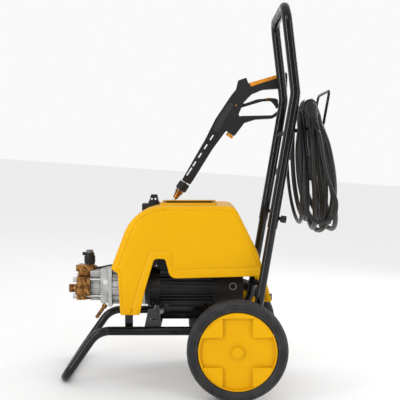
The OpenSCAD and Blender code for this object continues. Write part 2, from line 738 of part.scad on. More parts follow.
// Cap with a raised cross, its face turned outwards
cap_face = tyre_w / 2 - 1;
cross_w = 0.42 * 2 * cap_r;
module hub_cap(side)
    color(yellow) stance() wheel_place(side) {
        difference() {
            union() {
                translate([0, 0, 17.2]) cylinder(r = cap_r - 0.3, h = cap_face - 17.2 - 2);
                intersection() {
                    translate([0, 0, 20]) cylinder(r = cap_r - 7, h = cap_face - 20 + 1.5);
                    union() {
                        block([-cap_r, -cross_w / 2, 18], [cap_r, cross_w / 2, cap_face + 1.5]);
                        block([-cross_w / 2, -cap_r, 18], [cross_w / 2, cap_r, cap_face + 1.5]);
                    }
                }
            }
            translate([0, 0, 10]) cylinder(r = axle_r + 2, h = 12);
        }
    }
module tyre_left() tyre(-1);
module tyre_right() tyre(1);
module rim_left() rim(-1);
module rim_right() rim(1);
module hub_cap_left() hub_cap(-1);
module hub_cap_right() hub_cap(1);

// ---- Gun ----

// The gun's own zero is the middle of its lance nut; X and Z stay the machine's
gun_zero = [-49, gun_y, 517];
module at_gun() translate(gun_zero) children();
// Z along the lance, upwards
module along_lance() rotate([0, 90 - lance_angle, 0]) children();
trigger_pin = [152, 230];
body_half = 13;
barrel_slits = [[31, 58], [63, 79], [92, 108], [122, 138], [153, 170]];
module gun_body()
    color(cover_black) stance() at_gun() difference() {
        union() {
            // Barrel shroud and valve housing
            xz_plate(-14, 14) polygon(rounded([[-3.4, 16.7, 3], [63, 132, 0], [92, 190, 20],
                [136, 256, 12], [152, 276, 4], [158, 301, 4], [181, 309, 3], [188, 290, 4],
                [205, 270, 0], [175, 240, 6], [158, 202, 6], [182, 188, 12], [148, 143, 3],
                [124, 158, 3], [84, 104, 0], [33, 21.6, 0], [20.5, 3.5, 3]]));
            // Grip, guard and the bar that closes them
            xz_plate(-body_half, body_half) polygon(rounded([[184, 292, 2], [286, 325, 10], [298, 322, 6],
                [297, 240, 14], [278, 206, 14], [256, 193, 10], [207, 190, 20], [176, 180, 4], [160, 200, 3],
                [256, 202, 16], [283, 225, 14], [285, 279, 8], [228, 275, 20], [196, 262, 16],
                [176, 240, 0]]));
        }
        // Slot for the trigger's root
        xz_plate(-5.2, 5.2) polygon([[142, 222], [160, 218], [185, 224], [200, 262], [170, 254], [146, 242]]);
        translate([trigger_pin[0], 0, trigger_pin[1]]) y_cyl(-20, 20, 2);
        along_lance() {
            translate([0, 0, 12]) cylinder(r = lance_r + 0.2, h = 60);
            // Slits along the barrel
            for (s = barrel_slits) block([-9, -20, s[0]], [-5.5, 20, s[1]]);
        }
        xz_plate(-30, 30) polygon([[189, 294], [200, 303], [268, 325], [270, 307], [193, 282]]);
    }

module gun_trim()
    color(orange) stance() at_gun() {
        xz_plate(-body_half + 0.5, body_half - 0.5)
            polygon(rounded([[189.3, 294, 0], [268, 317, 4], [269.5, 307.5, 2], [193.3, 283, 3]]));
        along_lance() translate([33, 0, 190]) cylinder(r = 10.5, h = 9.5);
        translate([trigger_pin[0], 0, trigger_pin[1]]) y_cyl(-15, 15, 1.95);
    }

module trigger()
    color(cover_black) stance() at_gun() difference() {
        xz_plate(-4.8, 4.8) polygon(rounded([[146, 224, 4], [160, 222, 4], [187, 230, 12], [228, 242, 30],
            [252, 243, 10], [262, 232, 10], [268, 221, 2], [274, 225, 2], [272, 248, 5],
            [262, 251, 4], [236, 250, 2], [212, 248, 20], [178, 236, 12], [150, 236, 4]]));
        translate([trigger_pin[0], 0, trigger_pin[1]]) y_cyl(-20, 20, 2.02);
        // Recess and pin hole for the safety catch
        translate([catch_pin[0], 0, catch_pin[1]]) y_cyl(-20, 20, 1.5);
        xz_plate(-2.8, 2.8) polygon([[230, 200], [266, 200], [262, 256], [234, 256]]);
    }

catch_pin = [240, 246];
module trigger_catch()
    color(orange) stance() at_gun() {
        xz_plate(-2.5, 2.5)
            polygon(rounded([[236.5, 242.5, 3], [258, 243, 2], [258, 252, 2], [238, 252.5, 3]]));
        translate([catch_pin[0], 0, catch_pin[1]]) y_cyl(-4.7, 4.7, 1.45);
    }

module lance_nut()
    color(cover_black) stance() at_gun() along_lance() difference() {
        union() {
            translate([0, 0, -14.5]) cylinder(r = 14.6, h = 24.5);
            for (i = [0 : 11]) rotate([0, 0, 30 * i]) translate([14.6, 0, -12.5]) cylinder(r = 1.6, h = 20.5);
        }
        translate([0, 0, -20]) cylinder(r = lance_r + 0.02, h = 50);
    }

lance_len = 320;
module lance_tube()
    color(silver) stance() at_gun() along_lance() {
        difference() {
            union() {
                translate([0, 0, -lance_len]) cylinder(r = lance_r, h = lance_len + 70);
                translate([0, 0, -39]) cylinder(r1 = 6.4, r2 = 9.5, h = 15);
                translate([0, 0, -24]) cylinder(r = 11, h = 9.4, $fn = 6);
                translate([0, 0, -lance_len - 10]) cylinder(r = 8, h = 28);
            }
            translate([0, 0, -lance_len - 11]) cylinder(r = 1.2, h = 30);
            translate([0, 0, -lance_len + 16]) cylinder(r = 3.5, h = lance_len + 60);
        }
    }

// Cup for the lance tip on the right rail, and a guide ring on the cover's side
module lance_holster()
    color(cover_black) stance() {
        at_gun() along_lance() difference() {
            translate([0, 0, -lance_len - 16]) cylinder(r = 12, h = 70);
            translate([0, 0, -lance_len - 10.5]) cylinder(r = 8.6, h = 80);
        }
        difference() {
            block([-224, half_track + 4, rail_z], [-216, gun_y, 272]);
            translate([0, half_track, rail_z]) x_cyl(-300, -100, tube_r);
            at_gun() along_lance() translate([0, 0, -lance_len - 60]) cylinder(r = 12, h = 200);
        }
        difference() {
            union() {
                at_gun() along_lance() translate([0, 0, -86]) cylinder(r = 12, h = 14);
                block([-96, cover_half + 0.1, 440], [-84, gun_y - 9, 452]);
            }
            at_gun() along_lance() translate([0, 0, -150]) cylinder(r = 8.6, h = 150);
        }
    }

// ---- Cords ----

// Power cable from its gland, under the cover's edge and up beside the right upright to its coil
cable_route = [[4, 22, 318], [34, 22, 318], [62, 36, 314], [88, 64, 302], [108, 98, 286], [123, 132, 275],
    [138, 160, 274], [154, 170, 290], [164, 170, 330], [174, 170, 390], [184, 170, 450], [194, 170, 505],
    [212, 168, 550], [236, 162, 578], [257, 158, 600]];
// Its other end, from the coil down in a hanging bight and up to the plug
tail_route = [[286.1, -195.4, 664.1], [288, -206.5, 651.5], [291, -213, 628], [297, -213, 592], [306, -210, 555],
    [320, -204, 520], [332, -198, 488], [326, -194, 455], [297, -191, 441], [268, -188, 455],
    [258, -183, 490], [257, -172, 540], [257, -160, 600]];
cable_coil_x = [250, 264];
coil_in_r = 144;

// A round coil's outer shape about the X axis
module coil_ring(x0, x1, in_r, out_r)
    rotate([0, 90, 0]) rotate_extrude($fn = 96)
        polygon(rounded([[in_r, x0, 5], [out_r, x0, 5], [out_r, x1, 5], [in_r, x1, 5]]));
module power_cable()
    color([0.05, 0.05, 0.05]) stance() {
        swept_tube(route(cable_route, 3), cable_d / 2, 10, unit([1, -1, 0.2]));
        swept_tube(route(tail_route, 3), cable_d / 2, 8, [0, 1, 0]);
    }
module power_cable_coil()
    color([0.05, 0.05, 0.05]) stance() translate([0, 0, coil_z])
        coil_ring(cable_coil_x[0], cable_coil_x[1], coil_in_r, coil_in_r + 28);

// The hose coil hangs from the hook and tilts back below it
hang = [292, 678];
hang_drop = 100;
hose_tilt = 9;
hose_in_r = coil_in_r + 2;
hose_coil_r = hose_in_r + 36;
hose_coil_w = 34;
module at_hose_coil()
    translate([hang[0], 0, hang[1]]) rotate([0, -hose_tilt, 0]) translate([0, 0, -hang_drop]) children();
module hose_coil()
    color([0.07, 0.07, 0.07]) stance() at_hose_coil()
        coil_ring(-hose_coil_w / 2, hose_coil_w / 2, hose_in_r, hose_coil_r);

// Plug lying on the hose coil, with its strain relief hanging down the near side
plug_r = 16;
plug_angle = 44;
plug_x = -8;
module power_plug()
    color([0.08, 0.08, 0.08]) stance() at_hose_coil() rotate([plug_angle, 0, 0])
        translate([plug_x, 0, hose_coil_r + plug_r + 0.5]) {
            y_cyl(-14, 22, plug_r);
            y_cyl(-34, -14, 11);
            y_cyl(-80, -34, 7);
            for (x = [-9.5, 9.5]) translate([x, 0, 0]) y_cyl(22, 41, 2.4);
        }

// Swivel nuts and ferrules on the two hose ends, which come off the inside of the coil
fitting_place = [0, 124, -18];
fitting_tilt = 10;
nut_bore_r = 11.1;
module hose_fittings()
    color(brass) stance() at_hose_coil() for (side = [-1, 1])
        translate([fitting_place[0], side * fitting_place[1], fitting_place[2]])
            rotate([-fitting_tilt * side, 0, 0]) {
                difference() {
                    translate([0, 0, -26]) cylinder(r = 13.5, h = 26);
                    translate([0, 0, -27]) cylinder(r = nut_bore_r, h = 20);
                }
                cylinder(r = 9.5, h = 34);
                translate([0, 0, 34]) cylinder(r = hose_d / 2, h = 24);
            }

frame_tube_left();
frame_tube_right();
front_foot();
cross_bars();
axle_plates();
axle();
motor_brackets();
rubber_mounts();
motor_base();
screws();
motor_housing();
stator();
end_shields();
fan_cowl();
terminal_box();
capacitor();
cable_gland();
bearings();
pump_bell();
crankcase();
pistons();
pump_head();
tie_bolts();
outlet_connector();
water_inlet();
unloader_body();
bypass_tube();
chemical_barb();
cover_shell();
top_tray();
switch_base();
lance_holster();
motor_shaft();
rotor_core();
cooling_fan();
swash_plate();
pressure_knob();
switch_knob();
handle_tube();
handle_crossbar();
hose_hook();
clamp_knob_left();
clamp_knob_right();
tyre_left();
rim_left();
hub_cap_left();
tyre_right();
rim_right();
hub_cap_right();
gun_body();
gun_trim();
lance_nut();
lance_tube();
trigger();
trigger_catch();
power_cable();
power_cable_coil();
power_plug();
hose_coil();
hose_fittings();
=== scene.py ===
"""Looks of a trolley pressure washer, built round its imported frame.

Pieces are drawn in the machine's own axes and in millimetres, as its rails lie level there, and
MACHINE carries them to the frame's metres, where the machine stands on its wheels and its foot.
"""

import json
import math

import bmesh
import bpy
from mathutils import Matrix, Vector


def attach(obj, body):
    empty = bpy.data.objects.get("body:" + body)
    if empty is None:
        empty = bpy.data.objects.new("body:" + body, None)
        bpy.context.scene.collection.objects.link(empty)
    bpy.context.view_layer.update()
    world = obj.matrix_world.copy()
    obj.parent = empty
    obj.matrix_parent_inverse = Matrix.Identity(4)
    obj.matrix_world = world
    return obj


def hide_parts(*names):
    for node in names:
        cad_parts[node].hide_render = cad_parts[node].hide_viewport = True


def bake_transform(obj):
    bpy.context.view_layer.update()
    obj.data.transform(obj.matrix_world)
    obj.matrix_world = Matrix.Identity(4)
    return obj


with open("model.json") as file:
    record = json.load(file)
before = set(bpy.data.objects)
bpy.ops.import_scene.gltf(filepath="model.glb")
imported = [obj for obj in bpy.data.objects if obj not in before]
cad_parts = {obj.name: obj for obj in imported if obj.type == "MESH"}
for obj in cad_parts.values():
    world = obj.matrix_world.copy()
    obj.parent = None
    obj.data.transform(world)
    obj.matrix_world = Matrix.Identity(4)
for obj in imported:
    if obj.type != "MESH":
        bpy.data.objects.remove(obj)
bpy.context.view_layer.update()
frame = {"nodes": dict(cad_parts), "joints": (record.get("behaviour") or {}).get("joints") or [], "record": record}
NODES = frame["nodes"]
JOINTS = {joint["name"]: joint for joint in frame["joints"]}

MM = 0.001
AXLE_X, AXLE_Z = 92, 125
WHEEL_MID = 196
SHAFT_WAY = JOINTS["shaft_spin"]["axis"]
WHEEL_AT = JOINTS["wheel_left_spin"]["pos_m"]
LEAN = math.atan2(SHAFT_WAY[2], SHAFT_WAY[0])
MACHINE = (
    Matrix.Translation((WHEEL_AT[0], 0, WHEEL_AT[2]))
    @ Matrix.Rotation(-LEAN, 4, "Y")
    @ Matrix.Scale(MM, 4)
    @ Matrix.Translation((-AXLE_X, 0, -AXLE_Z))
)


def shift(x, y, z):
    return Matrix.Translation((x, y, z))


def turned(degrees, axis):
    return Matrix.Rotation(math.radians(degrees), 4, axis)


def smooth_step(t):
    t = min(1.0, max(0.0, t))
    return t * t * (3 - 2 * t)


def mix(a, b, t):
    return a + (b - a) * t


# ---- Camera, at the height and distance that the picture was taken from ----

CAMERA_PLACE = (0, -2250, 600)
CAMERA_PITCH = 2.915
CAMERA_LENS = 76.0


def make_camera():
    data = bpy.data.cameras.new("camera")
    data.lens = CAMERA_LENS
    data.sensor_width = 36
    data.clip_end = 50
    camera = bpy.data.objects.new("camera", data)
    bpy.context.scene.collection.objects.link(camera)
    aim = MACHINE @ shift(*CAMERA_PLACE) @ turned(90 - CAMERA_PITCH, "X")
    camera.matrix_world = Matrix.LocRotScale(aim.to_translation(), aim.to_quaternion(), None)
    bpy.context.scene.camera = camera


make_camera()

# ---- Materials ----


class Look:
    """A procedural material, with short calls for the nodes that the looks share."""

    def __init__(self, name, roughness=0.5, metallic=0.0, coat=0.0, coat_roughness=0.1,
                 specular=0.5):
        self.material = bpy.data.materials.new(name)
        self.material.use_nodes = True
        self.tree = self.material.node_tree
        self.shader = self.tree.nodes["Principled BSDF"]
        self.shader.inputs["Metallic"].default_value = metallic
        self.shader.inputs["Roughness"].default_value = roughness
        self.shader.inputs["Coat Weight"].default_value = coat
        self.shader.inputs["Coat Roughness"].default_value = coat_roughness
        self.shader.inputs["Specular IOR Level"].default_value = specular
        self.place = self.node("ShaderNodeTexCoord").outputs["Object"]
        self.normal = None

    def node(self, kind, **settings):
        made = self.tree.nodes.new(kind)
        for key, value in settings.items():
            setattr(made, key, value)
        return made

    def put(self, socket, value):
        """Gives a socket a number or colour, or joins another node's output to it."""
        if isinstance(value, bpy.types.NodeSocket):
            self.tree.links.new(value, socket)
        else:
            socket.default_value = value

    def scaled(self, scale, stretch=(1, 1, 1)):
        mapping = self.node("ShaderNodeMapping")
        mapping.inputs["Scale"].default_value = [scale * s for s in stretch]
        self.put(mapping.inputs["Vector"], self.place)
        return mapping.outputs["Vector"]

    def noise(self, scale, detail=3, stretch=(1, 1, 1), roughness=0.55):
        made = self.node("ShaderNodeTexNoise")
        self.put(made.inputs["Vector"], self.scaled(scale, stretch))
        made.inputs["Scale"].default_value = 1
        made.inputs["Detail"].default_value = detail
        made.inputs["Roughness"].default_value = roughness
        return made.outputs["Fac"]

    def cells(self, scale, stretch=(1, 1, 1)):
        made = self.node("ShaderNodeTexVoronoi")
        self.put(made.inputs["Vector"], self.scaled(scale, stretch))
        made.inputs["Scale"].default_value = 1
        return made.outputs["Distance"]

    def waves(self, scale, stretch=(1, 1, 1), distortion=0.0):
        made = self.node("ShaderNodeTexWave")
        self.put(made.inputs["Vector"], self.scaled(scale, stretch))
        made.inputs["Scale"].default_value = 1
        made.inputs["Distortion"].default_value = distortion
        return made.outputs["Fac"]

    def hollows(self, distance):
        """Near 0 in crevices and 1 on open faces."""
        made = self.node("ShaderNodeAmbientOcclusion")
        made.samples = 8
        made.inputs["Distance"].default_value = distance
        return made.outputs["AO"]

    def edges(self, width):
        """1 along a solid's own edges and 0 away from them."""
        made = self.node("ShaderNodeAmbientOcclusion", inside=True, only_local=True)
        made.samples = 8
        made.inputs["Distance"].default_value = width
        return self.span(made.outputs["AO"], 0.85, 0.5)

    def span(self, value, low, high, to_low=0.0, to_high=1.0):
        """value, with its range low to high stretched over to_low to to_high."""
        made = self.node("ShaderNodeMapRange")
        for socket, number in zip(made.inputs, (value, low, high, to_low, to_high)):
            self.put(socket, number)
        return made.outputs["Result"]

    def sum(self, a, b, operation="ADD"):
        made = self.node("ShaderNodeMath", operation=operation)
        self.put(made.inputs[0], a)
        self.put(made.inputs[1], b)
        return made.outputs["Value"]

    def blend(self, share, first, second):
        made = self.node("ShaderNodeMix", data_type="RGBA")
        for index, value in ((0, share), (6, first), (7, second)):
            if isinstance(value, tuple):
                value = (*value, 1.0)
            self.put(made.inputs[index], value)
        return made.outputs[2]

    def colour(self, value):
        self.put(self.shader.inputs["Base Color"], value)

    def roughness(self, value):
        self.put(self.shader.inputs["Roughness"], value)

    def bump(self, height, distance_mm, strength=1.0):
        made = self.node("ShaderNodeBump")
        made.inputs["Strength"].default_value = strength
        made.inputs["Distance"].default_value = distance_mm * MM
        self.put(made.inputs["Height"], height)
        if self.normal is not None:
            self.put(made.inputs["Normal"], self.normal)
        self.normal = made.outputs["Normal"]
        self.put(self.shader.inputs["Normal"], self.normal)


def moulded(name, light, dark, low, high, grain, grain_mm, coat=0.0, specular=0.4):
    """Moulded plastic or rubber: a clouded colour, fine grain, and handling marks in its gloss."""
    look = Look(name, coat=coat, coat_roughness=0.18, specular=specular)
    clouds = look.span(look.noise(9, 3), 0.3, 0.7)
    look.colour(look.blend(clouds, dark, light))
    marks = look.span(look.noise(70, 5, (1, 1, 0.4)), 0.35, 0.7, low, high)
    look.roughness(marks)
    look.bump(look.noise(grain, 2), grain_mm)
    return look


def yellow_plastic():
    look = moulded("yellow_plastic", (0.80, 0.415, 0.0), (0.76, 0.385, 0.0), 0.34, 0.46, 1100, 0.03,
                   specular=0.13)
    look.bump(look.noise(16, 1), 0.35, 0.35)
    look.shader.inputs["Subsurface Weight"].default_value = 0.02
    look.shader.inputs["Subsurface Radius"].default_value = (0.004, 0.002, 0.0005)
    return look.material


def black_paint():
    """Gloss powder coat, with orange peel and a few scuffs."""
    look = Look("black_paint", specular=0.35)
    scuffs = look.span(look.noise(45, 6, (1, 1, 0.5)), 0.56, 0.72)
    look.colour(look.blend(scuffs, (0.004, 0.004, 0.0045), (0.01, 0.01, 0.011)))
    look.roughness(look.span(scuffs, 0, 1, 0.13, 0.26))
    look.bump(look.noise(420, 2), 0.035)
    return look.material


def motor_paint():
    """Satin black over cast aluminium, greyed by dust in its corners."""
    look = Look("motor_paint", specular=0.42)
    corners = look.span(look.hollows(0.012), 0.75, 0.25, 0, 0.6)
    dust = look.sum(corners, look.noise(60, 4), "MULTIPLY")
    look.colour(look.blend(dust, (0.014, 0.014, 0.0145), (0.05, 0.048, 0.045)))
    look.roughness(look.span(look.noise(120, 4), 0.3, 0.7, 0.34, 0.5))
    look.bump(look.noise(700, 3), 0.06)
    return look.material


def black_plastic():
    return moulded("black_plastic", (0.016, 0.016, 0.0165), (0.01, 0.01, 0.0105), 0.38, 0.55,
                   1600, 0.05, specular=0.3).material


def satin_black():
    """Matt powder coat, as on the small bars."""
    look = Look("satin_black", specular=0.12)
    look.colour(look.blend(look.noise(60, 4), (0.005, 0.005, 0.005), (0.009, 0.009, 0.009)))
    look.roughness(look.span(look.noise(300, 3), 0.3, 0.7, 0.6, 0.75))
    look.bump(look.noise(700, 2), 0.03)
    return look.material


def rubber():
    return moulded("rubber", (0.02, 0.02, 0.02), (0.012, 0.012, 0.012), 0.6, 0.8,
                   900, 0.06).material


def tyre_rubber():
    """Solid tyre, dusty in patches that are also rougher."""
    look = Look("tyre", specular=0.3)
    dust = look.span(look.noise(38, 6), 0.42, 0.75)
    look.colour(look.blend(dust, (0.022, 0.023, 0.027), (0.052, 0.05, 0.049)))
    look.roughness(look.span(dust, 0, 1, 0.5, 0.78))
    look.bump(look.noise(900, 4), 0.08)
    return look.material


def cast_aluminium():
    """As cast: grainy, with painted shade that darkens its corners."""
    look = Look("cast_aluminium", metallic=0.85)
    # Painted shade: ambient occlusion darkens the casting's colour in its corners
    painted_corner_shade = look.span(look.hollows(0.01), 0.35, 0.9, 1, 0)
    grain = look.span(look.noise(55, 6), 0.3, 0.75)
    body = look.blend(grain, (0.6, 0.6, 0.59), (0.42, 0.42, 0.41))
    look.colour(look.blend(look.sum(painted_corner_shade, 0.8, "MULTIPLY"), body, (0.1, 0.095, 0.085)))
    look.roughness(look.span(grain, 0, 1, 0.36, 0.58))
    look.bump(look.noise(420, 5), 0.12)
    return look.material


def brass():
    """Forged and machined brass, darker where it has tarnished, with painted shade that darkens its corners."""
    look = Look("brass", metallic=1.0)
    tarnish = look.span(look.noise(85, 6), 0.38, 0.62)
    # Painted shade: ambient occlusion darkens the brass's colour in its corners
    corners = look.span(look.hollows(0.008), 0.3, 0.9, 1, 0)
    body = look.blend(tarnish, (0.42, 0.2, 0.06), (0.11, 0.05, 0.018))
    look.colour(look.blend(look.sum(corners, 0.75, "MULTIPLY"), body, (0.1, 0.045, 0.015)))
    look.roughness(look.span(tarnish, 0, 1, 0.16, 0.42))
    look.bump(look.noise(260, 5), 0.06)
    return look.material


def bright_steel():
    """Machined steel with fine turning marks."""
    look = Look("bright_steel", metallic=1.0)
    marks = look.noise(900, 3, (1, 0.08, 1))
    look.colour(look.blend(look.noise(60, 4), (0.66, 0.66, 0.67), (0.5, 0.5, 0.5)))
    look.roughness(look.span(marks, 0.3, 0.7, 0.2, 0.36))
    look.bump(marks, 0.02)
    return look.material


def grey_plate():
    """Dark plated steel with a dull, blotched sheen and rubbed edges."""
    look = Look("grey_plate", metallic=0.35)
    blotches = look.span(look.cells(120), 0.1, 0.8)
    body = look.blend(blotches, (0.04, 0.04, 0.042), (0.024, 0.024, 0.026))
    rubbed = look.sum(look.edges(0.0012), look.noise(90, 3), "MULTIPLY")
    look.colour(look.blend(rubbed, body, (0.22, 0.22, 0.22)))
    look.roughness(look.span(look.noise(200, 5), 0.3, 0.7, 0.38, 0.55))
    look.bump(look.noise(600, 3), 0.03)
    return look.material


def winding():
    """Varnished copper wires in a steel stack."""
    look = Look("winding", metallic=0.6)
    wires = look.waves(900, (1, 0.2, 0.2), 1.5)
    look.colour(look.blend(wires, (0.32, 0.12, 0.04), (0.6, 0.28, 0.1)))
    look.roughness(look.span(wires, 0, 1, 0.3, 0.45))
    look.bump(wires, 0.3)
    return look.material


def lamination():
    """Stacked sheet steel, one line a sheet."""
    look = Look("lamination", metallic=0.9)
    sheets = look.waves(2000, (1, 0, 0))
    look.colour(look.blend(sheets, (0.2, 0.2, 0.21), (0.42, 0.42, 0.43)))
    look.roughness(look.span(look.noise(150, 4), 0.3, 0.7, 0.35, 0.55))
    look.bump(sheets, 0.06)
    return look.material


def orange_plastic():
    return moulded("orange_plastic", (0.78, 0.29, 0.006), (0.7, 0.24, 0.004), 0.3, 0.42,
                   1300, 0.03, coat=0.1).material


def grey_plastic():
    return moulded("grey_plastic", (0.2, 0.2, 0.2), (0.13, 0.13, 0.13), 0.35, 0.5,
                   1300, 0.03).material


def cable_sheath():
    """Smooth cable rubber, a little dusty."""
    look = moulded("cable_sheath", (0.011, 0.011, 0.011), (0.006, 0.006, 0.006), 0.3, 0.46,
                   1400, 0.03, specular=0.35)
    look.bump(look.noise(70, 2), 0.25, 0.5)
    return look.material


def hose_sheath():
    """Hose rubber with the faint print of the cloth that it was wrapped in."""
    look = Look("hose_sheath", specular=0.35)
    place = look.node("ShaderNodeUVMap").outputs["UV"]
    wrap = look.node("ShaderNodeTexWave", bands_direction="DIAGONAL")
    look.put(wrap.inputs["Vector"], place)
    wrap.inputs["Scale"].default_value = 150
    dust = look.span(look.noise(26, 6), 0.42, 0.74)
    look.colour(look.blend(dust, (0.007, 0.007, 0.0066), (0.022, 0.02, 0.016)))
    look.roughness(look.span(dust, 0, 1, 0.34, 0.56))
    look.bump(wrap.outputs["Fac"], 0.05, 0.6)
    look.bump(look.noise(1200, 2), 0.03)
    return look.material


def checkered_plastic():
    """Grip pads with a fine raised diamond pattern."""
    look = moulded("checkered_plastic", (0.024, 0.024, 0.026), (0.015, 0.015, 0.016), 0.42, 0.58,
                   1600, 0.03)
    across = look.waves(1500, (1, 0, 1))
    along = look.waves(1500, (-1, 0, 1))
    look.bump(look.sum(across, along, "MULTIPLY"), 0.5)
    return look.material


LOOKS = {
    "yellow_plastic": yellow_plastic(),
    "black_paint": black_paint(),
    "motor_paint": motor_paint(),
    "black_plastic": black_plastic(),
    "rubber": rubber(),
    "tyre": tyre_rubber(),
    "cast_aluminium": cast_aluminium(),
    "brass": brass(),
    "bright_steel": bright_steel(),
    "grey_plate": grey_plate(),
    "winding": winding(),
    "lamination": lamination(),
    "orange_plastic": orange_plastic(),
    "cable_sheath": cable_sheath(),
    "hose_sheath": hose_sheath(),
}
GREY_PLASTIC = grey_plastic()
CHECKERED = checkered_plastic()
SATIN_BLACK = satin_black()

# ---- Meshes ----

# Parts of a slab's rounded corners
SLAB_STEPS = 5


class Shape:
    """Points and faces in millimetres, gathered before they become one piece."""

    def __init__(self):
        self.points = []
        self.faces = []
        self.uvs = None

    def add(self, points):
        """Adds points and returns their numbers."""
        first = len(self.points)
        self.points.extend(Vector(p) for p in points)
        return list(range(first, len(self.points)))

    def strip(self, a, b):
        """Joins two rows of point numbers of the same length."""
        for i in range(len(a)):
            j = (i + 1) % len(a)
            self.faces.append((a[i], a[j], b[j], b[i]))

    def fill(self, outer, holes=()):
        """Covers a flat outline, leaving its holes open."""
        if not holes:
            self.faces.append(tuple(outer))
            return
        mesh = bmesh.new()
        made = {}
        for loop in (outer, *holes):
            for n in loop:
                made[n] = mesh.verts.new(self.points[n])
            for i, n in enumerate(loop):
                mesh.edges.new((made[n], made[loop[(i + 1) % len(loop)]]))
        number = {v: n for n, v in made.items()}
        bmesh.ops.triangle_fill(mesh, use_beauty=True, edges=mesh.edges[:])
        self.faces.extend(tuple(number[v] for v in face.verts) for face in mesh.faces)
        mesh.free()

    def join(self, other, place=Matrix()):
        first = len(self.points)
        self.points.extend(place @ p for p in other.points)
        self.faces.extend(tuple(first + n for n in face) for face in other.faces)
        return self


def make_piece(name, shape, look, body, place=Matrix(), bevel=0.0, sharp=38):
    """Makes a shape one piece in the frame's metres, smooth except at its sharp edges."""
    mesh = bpy.data.meshes.new(name)
    whole = MACHINE @ place
    mesh.from_pydata([whole @ p for p in shape.points], [], shape.faces)
    if shape.uvs:
        layer = mesh.uv_layers.new(name="UVMap")
        flat = [number for face in shape.uvs for corner in face for number in corner]
        layer.data.foreach_set("uv", flat)
    work = bmesh.new()
    work.from_mesh(mesh)
    bmesh.ops.recalc_face_normals(work, faces=work.faces[:])
    work.to_mesh(mesh)
    work.free()
    mesh.polygons.foreach_set("use_smooth", [True] * len(mesh.polygons))
    mesh.set_sharp_from_angle(angle=math.radians(sharp))
    mesh.materials.append(look)
    piece = bpy.data.objects.new(name, mesh)
    bpy.context.scene.collection.objects.link(piece)
    if bevel:
        soften(piece, bevel, sharp)
    if body:
        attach(piece, body)
    return piece


def soften(piece, width_mm, sharp=38):
    bevel = piece.modifiers.new("edges", "BEVEL")
    bevel.width = width_mm * MM
    bevel.segments = 2
    bevel.limit_method = "ANGLE"
    bevel.angle_limit = math.radians(sharp)
    bevel.harden_normals = True


def turned_rings(shape, profile, sides, wobble):
    """Adds a ring of points about Z for each (radius, height). wobble changes a radius by its
    place and angle."""
    rings = []
    for radius, height in profile:
        row = []
        for k in range(sides):
            angle = math.tau * k / sides
            r = radius + (wobble(radius, height, angle) if wobble else 0)
            row.append((r * math.cos(angle), r * math.sin(angle), height))
        rings.append(shape.add(row))
    return rings


def revolve(profile, sides, wobble=None):
    """A ring about Z, whose section is a closed loop of (radius, height) points."""
    shape = Shape()
    rings = turned_rings(shape, profile, sides, wobble)
    for a, b in zip(rings, rings[1:] + rings[:1]):
        shape.strip(a, b)
    return shape


def turned_solid(profile, sides, wobble=None):
    """A solid of revolution about Z, closed by flat ends."""
    shape = Shape()
    rings = turned_rings(shape, profile, sides, wobble)
    for a, b in zip(rings, rings[1:]):
        shape.strip(a, b)
    shape.fill(rings[0])
    shape.fill(rings[-1])
    return shape


def swept(path, radius, sides):
    """A round tube along a path, with flat ends and UVs in turns round and metres along."""
    shape = Shape()
    shape.uvs = []
    rings, way = [], 0.0
    tangent = (path[1] - path[0]).normalized()
    side = tangent.orthogonal().normalized()
    ways = []
    for i, point in enumerate(path):
        ahead = path[min(i + 1, len(path) - 1)] - path[max(i - 1, 0)]
        new = ahead.normalized()
        side = (tangent.rotation_difference(new) @ side)
        side = (side - new * side.dot(new)).normalized()
        tangent = new
        up = tangent.cross(side)
        angles = [math.tau * k / sides for k in range(sides)]
        spokes = [math.cos(a) * side + math.sin(a) * up for a in angles]
        rings.append(shape.add(point + radius * spoke for spoke in spokes))
        if i:
            way += (point - path[i - 1]).length * MM
        ways.append(way)
    for n in range(len(rings) - 1):
        a, b = rings[n], rings[n + 1]
        for k in range(sides):
            j = (k + 1) % sides
            shape.faces.append((a[k], a[j], b[j], b[k]))
            u, v = k / sides, (k + 1) / sides
            shape.uvs.append(((u, ways[n]), (v, ways[n]), (v, ways[n + 1]), (u, ways[n + 1])))
    for ring in (rings[0], rings[-1]):
        shape.faces.append(tuple(ring))
        shape.uvs.append(tuple((0.0, 0.0) for _ in ring))
    return shape


def curve_through(points, steps):
    """A smooth curve through points, with steps parts between each two."""
    points = [Vector(p) for p in points]
    out = []
    for i in range(len(points) - 1):
        a, b = points[max(i - 1, 0)], points[i]
        c, d = points[i + 1], points[min(i + 2, len(points) - 1)]
        for k in range(steps):
            t = k / steps
            out.append(0.5 * (2 * b + (c - a) * t + (2 * a - 5 * b + 4 * c - d) * t * t
                              + (3 * b - a - 3 * c + d) * t ** 3))
    return out + [points[-1]]


